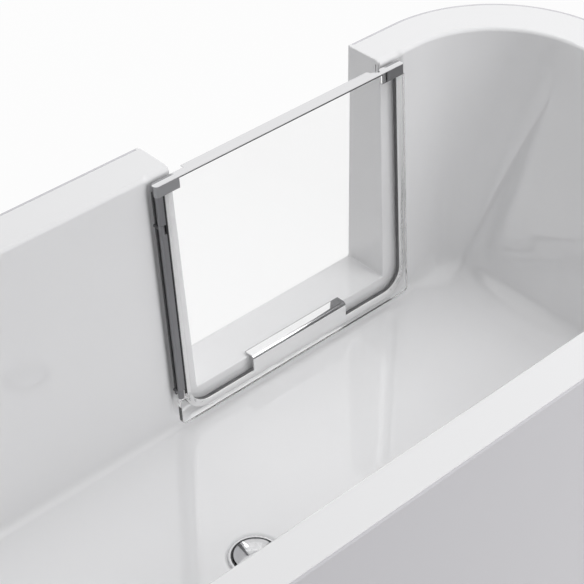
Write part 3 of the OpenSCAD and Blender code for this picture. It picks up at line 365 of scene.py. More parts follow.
def grip_metal(name):
    """Polished metal with a painted dark reflection, the sweep that a curled edge mirrors, widest at the end
    beside the latch; painted shade along the back edge and on the underside.
    """
    bright, dark = (0.9, 0.9, 0.905), (0.14, 0.14, 0.145)
    f = Finish(name, bright, 0.07, metal=1.0)
    axes = f.node("SeparateXYZ", Vector=f.place)
    back, front = ((DOOR_WALL @ Vector((0, y, LIP_Z))).y * MM for y in (LIP_BACK, LIP_FRONT))
    across = (axes["Y"] - back) * (1 / (front - back))
    along = ((DARK_REFLECTION_X * MM - axes["X"]) * (1 / (DARK_REFLECTION_L * MM))).clamp()
    end_step = ((along - 0.78) * 8.0).clamp()
    painted_dark_reflection = ((across - 1.0 + along * 0.4 + end_step * 0.7) * 9.0).clamp()
    # Painted shade: a dark line along the lip's back edge.
    edge = ((0.15 - across) * 20.0).clamp()
    painted_underside_shade = (((DOOR_WALL @ Vector((0, 0, LIP_UNDER_Z))).z * MM - axes["Z"]) * 900.0).clamp()
    # The dark colour carries the painted reflection and the painted shade.
    f.feed("Base Color", f.mix((painted_dark_reflection + edge + painted_underside_shade).clamp(), bright, dark))
    f.feed("Roughness", 0.05 + f.noise(60.0, 2.0) * 0.04)
    return f.mat


def button_metal(name):
    """Grey satin metal; the button's free end has painted shade, dark like the shadowed slot that it leaves
    beside the glass.
    """
    grey, dark, edge = (0.36, 0.36, 0.365), (0.03, 0.03, 0.03), 0.8
    f = Finish(name, grey, 0.22, metal=1.0)
    # Painted shade: the colour turns dark from just inside the button's free end.
    end = (f.node("SeparateXYZ", Vector=f.place)["X"] - (BUTTON_END_X - edge) * MM) * 2500.0
    f.feed("Base Color", f.mix(end.clamp(), grey, dark))
    f.feed("Roughness", 0.19 + f.noise(300.0, 3.0) * 0.05)
    return f.mat


def flange_metal(name):
    """Polished metal, dark in the well round the plug where no light reaches."""
    bright, dark = (0.62, 0.62, 0.63), (0.06, 0.06, 0.062)
    f = Finish(name, bright, 0.1, metal=1.0)
    axes = f.node("SeparateXYZ", Vector=f.place)
    dx, dy = axes["X"] - WASTE_X * MM, axes["Y"] - WASTE_Y * MM
    well = (((WELL_R * MM) ** 2 - dx * dx - dy * dy) * 30000.0).clamp()
    f.feed("Base Color", f.mix(well, bright, dark))
    f.feed("Roughness", 0.08 + f.noise(90.0, 2.0) * 0.05)
    return f.mat


RAIL = rail_metal("rail_metal")
GRIP = grip_metal("grip_metal")
BUTTON = button_metal("satin_button")
FLANGE = flange_metal("flange_metal")
print("finishes so far:", len(bpy.data.materials))

# %% [markdown]
# The door is 8 mm of clear glass. Glass in Cycles bends the view as real glass does, but it throws a
# dark shadow, because light that it bends is rarely found. So shadow rays and diffuse rays pass
# straight through, and only what the camera sees is bent.

# %% Clear glass


def clear_glass(name, color):
    f = Finish(name, color, 0.0, transmission=1.0)
    f.feed("Base Color", f.mix(f.noise(3.0, 1.0).clamp(), color, shaded(color, 0.995)))
    rays = f.node("LightPath")
    lit_through = (rays["Is Shadow Ray"] + rays["Is Diffuse Ray"]).clamp()
    f.surface(lit_through, f.plain, f.node("BsdfTransparent")["BSDF"])
    return f.mat


GLASS = clear_glass("clear_glass", (1.0, 1.0, 1.0))
print("finishes:", len(bpy.data.materials))

# %% [markdown]
# Every CAD node gets its finish by the record's slot, so hidden pieces such as the trap and the leg
# bars are dressed as carefully as the visible ones.

# %% Dress the carried-over nodes
SLOT_FINISH = {
    "acrylic": ACRYLIC, "panel_white": PANEL_ACRYLIC_SHADED, "zinc": ZINC, "board": BOARD, "foot_black": FOOT_BLACK,
    "chrome": CHROME, "rubber": RUBBER, "pipe_white": PIPE_WHITE, "pipe_grey": PIPE_GREY,
    "stainless": STAINLESS, "brass": BRASS, "cable_black": CABLE, "clear_glass": GLASS,
    "polished_metal": POLISHED, "satin_grey": SATIN_GREY, "satin_aluminium": SATIN_ALU,
    "bush_plastic": BUSH, "seal_rubber": SEAL_RUBBER, "dark_grey": DARK_GREY, "hook_steel": HOOK_STEEL}
for part in frame["record"]["subparts"]:
    node = frame["nodes"][part["node"]]
    node.data.materials.clear()
    node.data.materials.append(SLOT_FINISH[part["material_slot"]])

# %% [markdown]
# New pieces are modelled in millimetres with bmesh and closed by one call, which scales them to metres,
# merges doubles, turns the faces outwards, shades them smooth and lets them ride on a body.

# %% Piece helper


def piece(name, bm, finish, body, slot, nodes=(), bevel=0.0, segments=3, sharp=35.0, recalc=True):
    """Closes a bmesh as one piece; bevel is the width of its edges, and sharp the angle that makes one."""
    bmesh.ops.remove_doubles(bm, verts=bm.verts, dist=0.0005)
    if recalc:
        bmesh.ops.recalc_face_normals(bm, faces=bm.faces)
    bmesh.ops.scale(bm, vec=(MM, MM, MM), verts=bm.verts)
    mesh = bpy.data.meshes.new(name)
    bm.to_mesh(mesh)
    bm.free()
    mesh.materials.append(finish)
    obj = bpy.data.objects.new(name, mesh)
    bpy.context.scene.collection.objects.link(obj)
    if bevel:
        m = obj.modifiers.new("edge", "BEVEL")
        m.width, m.segments = bevel * MM, segments
        m.limit_method, m.angle_limit = "ANGLE", math.radians(sharp)
    for p in mesh.polygons:
        p.use_smooth = True
    mesh.set_sharp_from_angle(angle=math.radians(sharp))
    obj.modifiers.new("normals", "WEIGHTED_NORMAL").keep_sharp = True
    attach(obj, body)
    if nodes:
        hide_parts(*nodes)


print("piece helper ready")

# %% [markdown]
# The shell is one thermoformed sheet: skirt, rim, walls, floor and their undersides. It could be
# box-modelled and subdivided, but its curves come from a few circles, so it is lofted instead. One loop
# of vertices is extruded row by row round the sheet, and each vertex keeps its column's number. A
# column is one upright slice through the sheet, and its wall is the common tangent of the basin's edge
# and the fillet at the floor.

# %% One column of the basin


def column(h, top, foot, radius, outer, edge):
    """One upright slice: h points outwards, top is on the basin's edge, foot is the fillet's centre."""
    reach = (Vector(top) - Vector(foot[:2])).dot(Vector(h))
    drop = RIM_Z - foot[2]
    tilt = math.atan2(reach, drop) - math.asin(radius / math.hypot(reach, drop))
    return {"h": Vector((*h, 0)), "top": Vector((*top, RIM_Z)), "foot": Vector(foot), "r": radius,
            "tilt": tilt, "outer": Vector((*outer, 0)), "edge": Vector((*edge, 0))}


def between(a, b, t):
    return a + (b - a) * t


def spread(start, end, step):
    """Even steps from start to just before end."""
    count = max(1, round(abs(end - start) / step))
    return [between(start, end, i / count) for i in range(count)]


print("a flat wall takes", len(spread(FOOT_X, -FOOT_X, 24)), "columns")

# %% [markdown]
# Along a long wall the fillet at the floor is small, and at the end walls it is large. The two meet in
# the last stretch of the long wall, where the columns fan out towards the corner.

# %% Columns of the walls and corners
# The stretch in which the foot fans out, the gap before a corner's first column at the outer edge, and
# the radius of the shell's square outer corners
FAN, LAST_GAP, SQUARE_R = 50.0, 4.0, 12.0
SQUARE_X, SQUARE_Y = HALF_L - PANEL - SQUARE_R, HALF_W - PANEL - SQUARE_R


def long_wall(xs, side):
    """Columns of one long wall; beyond the straight foot the fillet grows towards the end wall."""
    for x in xs:
        t = min(1.0, max(0.0, (abs(x) - FOOT_X) / FAN))
        round_end = x < 0 and side < 0
        top_end = TOP_X - (ROUND_R if round_end else CORNER_R)
        outer_end = (HALF_L - OUTER_R if round_end else SQUARE_X) - LAST_GAP
        ends = (FOOT_X + FAN, top_end, outer_end)
        foot_x, top_x, outer_x = (math.copysign(between(FOOT_X, end, t), x) if t else x for end in ends)
        r = between(FOOT_R, END_FOOT_R, t)
        wall_y, edge_y = (front_wall_y, TOP_FRONT) if side < 0 else (back_wall_y, TOP_BACK)
        foot_y = wall_y(FLOOR_Z + r) - side * r / math.cos(SIDE_TILT)
        yield column((0, side), (top_x, edge_y), (foot_x, foot_y, FLOOR_Z + r), r,
                     (outer_x, side * (HALF_W - PANEL)), (0, side))


def end_wall(shares, side, top_range, outer_range):
    """Columns of one end wall, at shares of its width from the front."""
    ranges = ((FRONT_FOOT_Y, BACK_FOOT_Y), top_range, outer_range)
    for t in shares:
        foot_y, top_y, outer_y = (between(*ends, t) for ends in ranges)
        yield column((side, 0), (side * TOP_X, top_y), (side * END_FOOT_X, foot_y, END_FOOT_Z), END_FOOT_R,
                     (side * (HALF_L - PANEL), outer_y), (side, 0))


def corner(centre, radius, start, foot, square=None, count=24):
    """Columns of one corner through 90 degrees; square holds the signs of a square outer corner."""
    for i in range(count):
        a = math.radians(start + 90.0 * i / count)
        h = (math.cos(a), math.sin(a))
        if square:
            outer_x, outer_y, outer_r = square[0] * SQUARE_X, square[1] * SQUARE_Y, SQUARE_R
        else:
            outer_x, outer_y, outer_r = OUTER_R - HALF_L, OUTER_R - HALF_W, OUTER_R - PANEL
        top = (centre[0] + radius * h[0], centre[1] + radius * h[1])
        outer = (outer_x + outer_r * h[0], outer_y + outer_r * h[1])
        yield column(h, top, (*foot, END_FOOT_Z), END_FOOT_R, outer, h)


print("square outer corners at", SQUARE_X, SQUARE_Y)

# %% [markdown]
# The columns go once round the basin, from the round corner along the door wall and back along the
# other side. They stand close together where the pocket has its edges and wide apart where the wall is
# flat, which keeps the mesh light.

# %% Once round the basin
# Columns stand close from the first x to the second, beside the hinge, and beyond the third, at the latch
POCKET_EDGES = (-66.0, -120.0, -560.0)
FRONT_STEPS = ((FOOT_X + FAN, FOOT_X, 10), (FOOT_X, POCKET_EDGES[0], 24), (*POCKET_EDGES[:2], 2.7),
               (*POCKET_EDGES[1:], 14), (POCKET_EDGES[2], -FOOT_X, 2.7), (-FOOT_X, -FOOT_X - FAN, 10))
BACK_STEPS = ((FOOT_X + FAN, FOOT_X, 10), (FOOT_X, -FOOT_X, 24), (-FOOT_X, -FOOT_X - FAN, 10))
front_xs, back_xs = ([x for step in steps for x in spread(*step)] for steps in (FRONT_STEPS, BACK_STEPS))
shares = [i / 20 for i in range(20)]
round_at = (ROUND_R - TOP_X, TOP_FRONT + ROUND_R)
low_y, high_y = TOP_FRONT + CORNER_R, TOP_BACK - CORNER_R

columns = list(corner(round_at, ROUND_R, 180, (-END_FOOT_X, FRONT_FOOT_Y), count=32))
columns += long_wall(front_xs[::-1], -1)
columns += corner((TOP_X - CORNER_R, low_y), CORNER_R, 270, (END_FOOT_X, FRONT_FOOT_Y), (1, -1))
columns += end_wall(shares, 1, (low_y, high_y), (-SQUARE_Y, SQUARE_Y))
columns += corner((TOP_X - CORNER_R, high_y), CORNER_R, 0, (END_FOOT_X, BACK_FOOT_Y), (1, 1))
columns += long_wall(back_xs, 1)
columns += corner((CORNER_R - TOP_X, high_y), CORNER_R, 90, (-END_FOOT_X, BACK_FOOT_Y), (-1, 1))
columns += end_wall([1 - t for t in shares], -1, (round_at[1], high_y), (OUTER_R - HALF_W, SQUARE_Y))
print("columns:", len(columns), "tilt from", round(math.degrees(min(c["tilt"] for c in columns)), 2))

# %% [markdown]
# The glass closes into a pocket that is pressed 5 mm into the wall, with a soft edge that fades out
# under the rim. No cut is needed for it: every vertex of the wall moves back by an amount that depends
# on its distance to the pocket.

# %% The pocket for the glass


def soft(t):
    """A smooth step from 0 to 1."""
    t = min(1.0, max(0.0, t))
    return t * t * (3 - 2 * t)


def pocket(x, z, edge=12.0, r=35.0, rim_gap=2.0, fade=20.0):
    """How far the wall is set back at a place on the door wall; z is measured down from the rim."""
    low = -(RIM_Z - FLOOR_Z) + FOOT_R
    dx = max(POCKET_X0 + r - x, x - (POCKET_X1 - r))
    dz = low + r - z
    away = math.hypot(max(dx, 0), max(dz, 0)) - r if dz > 0 else dx - r
    return POCKET_D * (1 - soft(away / edge)) * soft((-rim_gap - z) / fade)


def on_door_wall(c):
    return c["h"].y < -0.999


def sink(point, c):
    """Sets a vertex of the door wall back into the pocket."""
    if not on_door_wall(c):
        return point
    depth = pocket(point.x, (point.z - RIM_Z) / math.cos(SIDE_TILT))
    return point + Vector((0, -depth * math.cos(SIDE_TILT), -depth * math.sin(SIDE_TILT)))


print("pocket depth in the middle:", pocket(DOOR_X, -200.0))

# %% [markdown]
# Now each column becomes a closed line of points: over the rim, down the wall, across the floor to the
# waste, and back along the hidden side. Beside the doorway the fillet under the rim is larger, as the
# photograph shows.

# %% Rows of points
UP = Vector((0, 0, 1))
OUTER_EDGE_R = 2.0
# The stretch above the foot with closer rows, and the distance from the waste's middle where it dips
LOW_BAND, DISH_START = 50.0, 50.0
# The wall's own z at which the pocket tells how near to the doorway a column stands
BELOW_RIM = -40.0
# Radius and depth under the floor, from the lip of the waste's dish down its hole to the underside
DISH = ((47.5, 0.05), (46.0, 0.3), (44.8, 0.8), (43.6, 1.8), (42.8, 2.6), (42.0, 3.0), (26.6, 3.0),
        (26.0, 3.6), (26.0, 7.4), (26.6, 8.0), (60.0, 8.0))


def slant(h, angle):
    """A unit step that points outwards at angle 0 and straight down at 90 degrees."""
    return h * math.cos(angle) - UP * math.sin(angle)


def inner_rim(c):
    """Radius, start and centre of the fillet between the rim and the wall."""
    near_door = pocket(c["top"].x, BELOW_RIM) / POCKET_D if on_door_wall(c) else 0.0
    r = between(RIM_R, DOOR_RIM_R, near_door)
    start = c["top"] + c["h"] * (r / math.cos(c["tilt"]) - r * math.tan(c["tilt"]))
    return r, start, start - UP * r


def rim_rows(c):
    """From the skirt's foot over the rim to the fillet of the wall."""
    out = c["outer"]
    rows = [out + UP * (RIM_Z - SKIRT_H), out + UP * (RIM_Z - SKIRT_H / 2)]
    for i in range(6):
        a = math.radians(18 * i)
        rows.append(out - c["edge"] * OUTER_EDGE_R * (1 - math.cos(a))
                    + UP * (RIM_Z - OUTER_EDGE_R * (1 - math.sin(a))))
    start = inner_rim(c)[1]
    return rows + [rows[-1].lerp(start, t) for t in (0.12, 0.4, 0.7, 0.9)]


def wall_rows(c):
    """Down the wall and its two fillets, with closer rows near the foot."""
    h, tilt, foot, r = c["h"], c["tilt"], c["foot"], c["r"]
    rim_r, _, centre = inner_rim(c)
    turn = math.pi / 2 - tilt
    rows = [centre - slant(h, math.pi / 2 - turn * i / 8) * rim_r for i in range(9)]
    top, low = centre - slant(h, tilt) * rim_r, foot + slant(h, tilt) * r
    down = (top - low).length
    steps = [i / 33 * (down - LOW_BAND) for i in range(1, 34)]
    steps += [down - LOW_BAND + LOW_BAND * i / 16 for i in range(1, 17)]
    rows += [top.lerp(low, s / down) for s in steps]
    rows += [foot + slant(h, tilt + turn * i / 12) * r for i in range(1, 13)]
    return [sink(p, c) for p in rows]


def floor_rows(c):
    """Across the floor to the waste, down its dish and hole, and out again underneath."""
    centre = Vector((WASTE_X, WASTE_Y, FLOOR_Z))
    spoke = c["top"] - centre
    spoke.z = 0
    spoke.normalize()
    start = Vector((c["foot"].x, c["foot"].y, FLOOR_Z))
    rows = [start.lerp(centre + spoke * DISH_START, t) for t in (0.08, 0.2, 0.4, 0.6, 0.8, 1.0)]
    rows += [centre + spoke * radius - UP * depth for radius, depth in DISH]
    return rows + [rows[-1].lerp(start - UP * SHELL, 0.5)]


def hidden_rows(c):
    """Up the back of the wall, under the rim and down inside the skirt."""
    h, tilt = c["h"], c["tilt"]
    rows = [c["foot"] + slant(h, between(math.pi / 2, tilt, i / 6)) * (c["r"] + SHELL) for i in range(7)]
    base = rows[-1]
    slope = (h * math.sin(tilt) + UP * math.cos(tilt)) / math.cos(tilt)
    rows += [base + slope * (RIM_Z - SHELL - base.z) * t for t in (0.25, 0.5, 0.75, 0.9, 1.0)]
    inside = c["outer"] - c["edge"] * SKIRT
    return [sink(p, c) for p in rows] + [inside + UP * (RIM_Z - SHELL), inside + UP * (RIM_Z - SKIRT_H)]


slices = [rim_rows(c) + wall_rows(c) + floor_rows(c) + hidden_rows(c) for c in columns]
rows = list(zip(*slices))
print("rows:", len(rows))

# %% [markdown]
# A loft is a loop of edges that is extruded once for each row. The extrusion returns new vertices in
# no useful order, so every vertex carries its column's number in a layer of the mesh.

# %% Loft


def loft(bm, loops):
    """Extrudes one loop of vertices row by row; loops[k][i] is the place of column i in row k."""
    number = bm.verts.layers.int.new("column")
    ring = bmesh.ops.create_circle(bm, cap_ends=False, segments=len(loops[0]), radius=1.0)["verts"]
    for i, v in enumerate(ring):
        v[number], v.co = i, loops[0][i]
    edges = list({e for v in ring for e in v.link_edges})
    for points in loops[1:]:
        grown = bmesh.ops.extrude_edge_only(bm, edges=edges)["geom"]
        new = {g for g in grown if isinstance(g, bmesh.types.BMVert)}
        for v in new:
            v.co = points[v[number]]
        edges = [g for g in grown if isinstance(g, bmesh.types.BMEdge) and new.issuperset(g.verts)]


shell_bm = bmesh.new()
loft(shell_bm, rows + rows[:1])
bmesh.ops.remove_doubles(shell_bm, verts=shell_bm.verts, dist=0.01)
bmesh.ops.recalc_face_normals(shell_bm, faces=shell_bm.faces)
print("shell faces:", len(shell_bm.faces), "open edges:", sum(e.is_boundary for e in shell_bm.edges))

# %% [markdown]
# The doorway is a tunnel from the wall to the outside. Its outline runs down one leaning jamb, round
# the sill and up the other. A body is lofted through that outline at several depths, and where the
# outline is let out a little, the body flares and leaves a rounded edge.

# %% Outline of the doorway
# Radius of the doorway's edges, the open top of the cutter, and where the straight jambs begin
EDGE_R, CUT_TOP, STRAIGHT_Z = 2.0, RIM_Z + 14.0, RIM_Z - 24.0


def door_outline(grow, rim, flare=True):
    """Points of the doorway's outline, let out by grow, from the latch side round the sill."""
    lean = JAMB_LEAN / (RIM_Z - SILL_Z)
    r, low = SILL_R + grow, SILL_Z - grow

    def jamb_x(side, z):
        return DOOR_X + side * (DOOR_W / 2 + grow) - side * lean * (RIM_Z - z)

    arms = []
    for side in (-1, 1):
        top_x = jamb_x(side, rim)
        if flare:
            arm = [(top_x + side * EDGE_R * 1.3, CUT_TOP)]
            for i in range(7):
                a = math.radians(15 * i)
                arm.append((top_x + side * EDGE_R * (1 - math.sin(a)), rim - EDGE_R * (1 - math.cos(a))))
        else:
            arm = [(jamb_x(side, rim - 3 * i), rim - 3 * i) for i in range(8)]
        for i in range(1, 12):
            z = between(STRAIGHT_Z, low + r + 2, i / 11)
            arm.append((jamb_x(side, z), z))
        arc_x = jamb_x(side, low + r) - side * r
        for i in range(9):
            a = math.radians(90 * i / 8)
            arm.append((arc_x + side * r * math.cos(a), low + r - r * math.sin(a)))
        arms.append(arm)
    left, right = arms
    sill = [(between(left[-1][0], right[-1][0], i / 16), low) for i in range(1, 16)]
    return left + sill + right[::-1]


def prism(levels, flare=True):
    """A closed body through outlines; each level is how far to let out, y as a function of z, and the top."""
    bm = bmesh.new()
    loft(bm, [[Vector((x, y_of(z), z)) for x, z in door_outline(grow, rim, flare)]
              for grow, y_of, rim in levels])
    bmesh.ops.holes_fill(bm, edges=[e for e in bm.edges if e.is_boundary], sides=0)
    bmesh.ops.recalc_face_normals(bm, faces=bm.faces)
    return bm


print("outline points:", len(door_outline(0, RIM_Z)))

# %% [markdown]
# Two bodies follow from the outline: a U-shaped sleeve that is joined to the shell and makes the
# tunnel's walls, and a cutter that opens the doorway through both. The cutter's top follows the rim and
# its inner fillet, so the doorway's upper edges are rounded all the way.

# %% Sleeve and cutter
SLEEVE_TOP, SLEEVE_IN, SLEEVE_CHAMFER = RIM_Z - 0.4, 12.0, 0.8
OUTSIDE_Y = PANEL - HALF_W
CUT_BEYOND_WALL, CUT_BEYOND_OUTSIDE = 6.0, 2.0


def wall_at(depth):
    return lambda z: front_wall_y(min(z, RIM_Z)) + depth / math.cos(SIDE_TILT)


def outside_at(y):
    return lambda z: y


def rim_at(depth):
    """Height of the rim at a depth behind the basin wall, down its inner fillet too."""
    r = DOOR_RIM_R
    return RIM_Z - r + math.sqrt(max(0.0, r ** 2 - max(0.0, depth + r) ** 2))


def edge_step(degrees):
    """How far a rounded edge lets the outline out, and how far in it lies, at one step of its arc."""
    a = math.radians(degrees)
    return EDGE_R * (1 - math.cos(a)), EDGE_R * (1 - math.sin(a))


levels = [(EDGE_R, wall_at(CUT_BEYOND_WALL), rim_at(-POCKET_D))]
for grow, deep in map(edge_step, range(90, -1, -15)):
    levels.append((grow, wall_at(-POCKET_D - deep), rim_at(-POCKET_D - deep)))
for depth in (-9, -11, -13, -20, -30, -40, -50, -60):
    levels.append((0, wall_at(depth), rim_at(depth)))
for grow, deep in map(edge_step, range(0, 91, 15)):
    levels.append((grow, outside_at(OUTSIDE_Y + deep), RIM_Z))
levels.append((EDGE_R, outside_at(-HALF_W - CUT_BEYOND_OUTSIDE), RIM_Z))
cutter = prism(levels)
sleeve = prism([(SHELL, wall_at(-SLEEVE_IN), SLEEVE_TOP), (SHELL, outside_at(OUTSIDE_Y), SLEEVE_TOP),
                (SHELL, outside_at(SLEEVE_CHAMFER - HALF_W), SLEEVE_TOP),
                (SHELL - SLEEVE_CHAMFER, outside_at(-HALF_W), SLEEVE_TOP)], flare=False)
print("cutter faces:", len(cutter.faces), "sleeve faces:", len(sleeve.faces))

# %% [markdown]
# The bodies and the holes for the overflow and the hinge studs meet the shell at odd angles that have
# nothing to do with its columns. Cutting such outlines by hand would be slow, so Blender's boolean does
# it, with the exact solver.

# %% Cut the shell
# Where the tools for the two kinds of hole begin and end, square to their walls
OVERFLOW_CUT, STUD_CUT = (-3.0, 14.0), (-20.0, 2.0)


def as_object(bm, name):
    mesh = bpy.data.meshes.new(name)
    bm.to_mesh(mesh)
    bm.free()
    obj = bpy.data.objects.new(name, mesh)
    bpy.context.scene.collection.objects.link(obj)
    return obj


def boolean(target, tool, operation):
    """Joins or cuts two bmeshes and returns the result as a bmesh."""
    a, b = as_object(target, "target"), as_object(tool, "tool")
    m = a.modifiers.new("cut", "BOOLEAN")
    m.operation, m.solver, m.object = operation, "EXACT", b
    bpy.context.view_layer.update()
    done = bmesh.new()
    done.from_mesh(a.evaluated_get(bpy.context.evaluated_depsgraph_get()).to_mesh())
    for o in (a, b):
        bpy.data.objects.remove(o)
    return done


def bore(bm, place, radius, y0, y1, segments=64):
    """A cylinder along the wall's own y, as a tool for a hole."""
    turn = place @ Matrix.Translation((0, (y0 + y1) / 2, 0)) @ Matrix.Rotation(math.pi / 2, 4, "X")
    bmesh.ops.create_cone(bm, cap_ends=True, segments=segments, radius1=radius, radius2=radius,
                          depth=y1 - y0, matrix=turn)


holes = bmesh.new()
bore(holes, BACK_WALL @ Matrix.Translation((WASTE_X, 0, OVERFLOW_Z)), OVERFLOW_R, *OVERFLOW_CUT)
for z in STUD_ZS:
    bore(holes, DOOR_WALL @ Matrix.Translation((AXIS_X, 0, z)), STUD_R, *STUD_CUT, 32)

for tool, operation in ((sleeve, "UNION"), (cutter, "DIFFERENCE"), (holes, "DIFFERENCE")):
    shell_bm = boolean(shell_bm, tool, operation)
bmesh.ops.holes_fill(shell_bm, edges=[e for e in shell_bm.edges if e.is_boundary], sides=0)
print("shell faces:", len(shell_bm.faces), "open edges:", sum(e.is_boundary for e in shell_bm.edges))
piece("tub_shell_formed", shell_bm, ACRYLIC, "tub", "acrylic", ("tub_shell",), sharp=40, recalc=False)

# %% [markdown]
# The front apron is one bent sheet: along the door side, round the big corner and along the round end.
# A bent sheet starts as a line of edges, spun round the corner, drawn upwards and thickened inwards.

# %% Front apron
TOE_Z, PANEL_TOP = 15.0, RIM_Z - 0.5
NOTCH_GAP, NOTCH_FROM, NOTCH_TO, NOTCH_TOP = 0.3, 20.0 - HALF_W, -10.0 - HALF_W, RIM_Z + 20.0


def walk(bm, vert, x, y):
    """Extrudes the line's last vertex to a new place and returns the new one."""
    new = bmesh.ops.extrude_vert_indiv(bm, verts=[vert])["verts"][0]
    new.co = (x, y, TOE_Z)
    return new


def verts_in(geom):
    return [g for g in geom if isinstance(g, bmesh.types.BMVert)]


bm = bmesh.new()
end = bm.verts.new((HALF_L, -HALF_W, TOE_Z))
for x in (620.0, 340.0, 60.0, -60.0, -340.0, -620.0, OUTER_R - HALF_L):
    end = walk(bm, end, x, -HALF_W)
spun = bmesh.ops.spin(bm, geom=[end], cent=(OUTER_R - HALF_L, OUTER_R - HALF_W, TOE_Z), axis=(0, 0, 1),
                      angle=-math.pi / 2, steps=32, use_merge=False)
end = verts_in(spun["geom_last"])[0]
for y in (120.0, HALF_W - PANEL):
    end = walk(bm, end, -HALF_L, y)
grown = bmesh.ops.extrude_edge_only(bm, edges=bm.edges[:])["geom"]
bmesh.ops.translate(bm, vec=(0, 0, PANEL_TOP - TOE_Z), verts=verts_in(grown))
bmesh.ops.recalc_face_normals(bm, faces=bm.faces)
if sum(f.normal.y for f in bm.faces if abs(f.normal.y) > 0.9) > 0:
    bmesh.ops.reverse_faces(bm, faces=bm.faces)
bmesh.ops.solidify(bm, geom=bm.faces[:], thickness=PANEL)
notch = prism([(SHELL + NOTCH_GAP, outside_at(y), NOTCH_TOP) for y in (NOTCH_FROM, NOTCH_TO)], flare=False)
bm = boolean(bm, notch, "DIFFERENCE")
print("apron faces:", len(bm.faces), "front at y", round(min(v.co.y for v in bm.verts), 2))
piece("front_apron_sheet", bm, PANEL_ACRYLIC_SHADED, "tub", "panel_white", ("front_apron",), bevel=0.8, sharp=40)

# %% [markdown]
# The rest of the frame is already the right shape, but its edges are as sharp as a drawing. Real parts
# have a small radius that catches the light, so each node is copied, merged, bevelled and shaded smooth.

# %% Softened copies
BODY_OF = {n: b for b, names in frame["record"]["behaviour"]["bodies"].items() for n in names}
SLOT_OF = {p["node"]: p["material_slot"] for p in frame["record"]["subparts"]}


def soften(node, width, finish=None):
    """A merged, bevelled and smoothly shaded copy that stands for a CAD node."""
    bm = bmesh.new()
    bm.from_mesh(frame["nodes"][node].data)
    bmesh.ops.remove_doubles(bm, verts=bm.verts, dist=0.000002)
    bmesh.ops.dissolve_limit(bm, angle_limit=math.radians(0.5), verts=bm.verts, edges=bm.edges)
    bmesh.ops.scale(bm, vec=(1 / MM, 1 / MM, 1 / MM), verts=bm.verts)
    piece(node + "_finished", bm, finish or SLOT_FINISH[SLOT_OF[node]], BODY_OF[node], SLOT_OF[node],
          (node,), bevel=width, segments=2, recalc=False)


# The width of each node's edges
EDGES = {
    "wall_panel": 0.8, "end_panel": 0.8, "panel_brackets": 0.5, "panel_screws": 0.4, "floor_board": 1.0,
    **{f"leg_bar_{i}": 0.6 for i in range(1, 4)}, "bar_screws": 0.4, "foot_nuts": 0.5, "lock_nuts": 0.5,
    **{f"foot_{i}": 0.6 for i in range(1, 7)},
    "waste_gasket": 0.4, "trap_body": 0.6, "trap_cap": 0.5, "outlet_pipe": 0.5, "plug_seal": 0.3,
    "plug_stem": 0.4, "lift_lever": 0.3, "lever_pin": 0.2, "overflow_gasket": 0.4, "overflow_body": 0.5,
    "overflow_nut": 0.4, "overflow_pipe": 0.3, "knob_spindle": 0.3, "hinge_bracket_upper": 0.4,
    "hinge_bracket_lower": 0.4,
    "hinge_base": 0.4, "rail_gasket": 0.4, "edge_gasket": 0.2, "hinge_pins": 0.2,
    "bracket_nuts": 0.4, "keeper": 0.5, "door_glass": 0.5, "top_rail": 0.7, "hinge_block": 0.8,
    "hinge_profile": 0.3, "hinge_bushes": 0.2, "rail_screws": 0.2, "seal_frame": 0.4, "door_seal": 0.8,
    "grip_lip": 0.3, "latch_housing": 0.6, "latch_button": 0.7, "latch_hook": 0.3,
    "overflow_face": 0.5, "overflow_knob": 1.0, "waste_flange": 0.3, "plug_cap": 0.5}
# The hinge profile and its brackets take the aluminium painted dark as shade.
FINISH_OF = {"hinge_profile": ALU_PAINTED_DARK, "hinge_bracket_upper": ALU_PAINTED_DARK, "hinge_bracket_lower": ALU_PAINTED_DARK,
             "top_rail": RAIL, "seal_frame": FRAME_WHITE, "latch_button": BUTTON, "grip_lip": GRIP,
             "waste_flange": FLANGE, "plug_cap": CAP}
for name, width in EDGES.items():
    soften(name, width, FINISH_OF.get(name))
print("softened", len(EDGES), "nodes")

# %% [markdown]
# A product photograph on white shows no horizon. The floor mixes a pale diffuse surface with plain
# white for whatever the camera sees, so the tub keeps a soft shadow. It lies just below the feet at
# their lowest setting, so that no pose sinks into it.

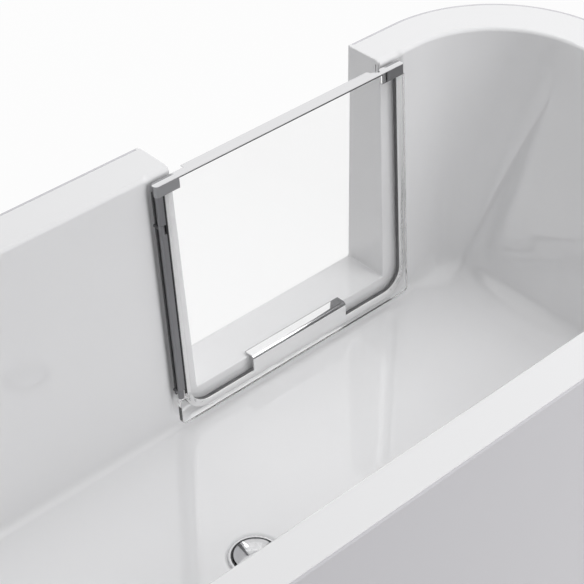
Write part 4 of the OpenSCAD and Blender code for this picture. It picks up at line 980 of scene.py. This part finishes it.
# %% Floor
FLOOR_DROP, WHITE_SHARE = 10.5, 0.93
bm = bmesh.new()
bmesh.ops.create_grid(bm, x_segments=1, y_segments=1, size=8.0)
mesh = bpy.data.meshes.new("studio_floor")
bm.to_mesh(mesh)
bm.free()
floor = bpy.data.objects.new("studio_floor", mesh)
bpy.context.scene.collection.objects.link(floor)
floor.location.z = -FLOOR_DROP * MM
ground = Finish("studio_floor", (0.75, 0.75, 0.75), 0.6)
glow = ground.node("Emission", Strength=1.0)["Emission"]
ground.surface(ground.seen_directly() * WHITE_SHARE, ground.plain, glow)
mesh.materials.append(ground.mat)
print("floor at z", round(floor.location.z, 4))

# %% [markdown]
# The backdrop is the world itself. The camera, metal and glass see it as pure white, and the tub is lit
# by a much weaker fill that is a little stronger from the latch side and from behind the back wall.

# %% World
FILL, FILL_X, FILL_Y = 0.41, 0.15, 0.1
world = bpy.data.worlds.new("studio")
bpy.context.scene.world = world
world.use_nodes = True
sky = Nodes(world.node_tree)
way = sky.node("SeparateXYZ", Vector=sky.node("TexCoord")["Generated"])
weak = sky.tree.nodes["Background"]
weak.inputs["Color"].default_value = (0.985, 0.985, 1.0, 1)
sky.tree.links.new((FILL - way["X"] * FILL_X + way["Y"] * FILL_Y).out, weak.inputs["Strength"])
white = sky.node("Background", Color=(1, 1, 1, 1), Strength=1.0)["Background"]
sky.surface(sky.seen_directly(), Sock(sky.tree, weak.outputs[0]), white)
print("fill light:", FILL, "with a swing of", round(math.hypot(FILL_X, FILL_Y), 2))

# %% [markdown]
# Three large softboxes shape the tub: one overhead for the rims, a key from above the far rim for the
# door wall, and a fill for the outside. They are hidden from mirrors, so the acrylic and the metal show
# the plain white room and no lamp.

# %% Lamps


def softbox(name, at, aim, width, height, watts):
    lamp = bpy.data.lights.new(name, "AREA")
    lamp.shape, lamp.size, lamp.size_y, lamp.energy = "RECTANGLE", width, height, watts
    obj = bpy.data.objects.new(name, lamp)
    turn = (Vector(aim) - Vector(at)).to_track_quat("-Z", "Y").to_matrix().to_4x4()
    obj.matrix_world = Matrix.Translation(at) @ turn
    obj.visible_glossy = False
    bpy.context.scene.collection.objects.link(obj)


softbox("overhead", (-0.9, -0.1, 3.2), (-0.4, -0.1, 0.3), 2.6, 2.2, 29)
softbox("key", (-1.9, 2.2, 2.6), (-0.5, -0.2, 0.4), 2.2, 2.0, 39)
softbox("front fill", (-0.6, -3.4, 1.5), (-0.2, 0, 0.4), 2.4, 1.6, 24)
bpy.context.scene.view_settings.view_transform = "Standard"
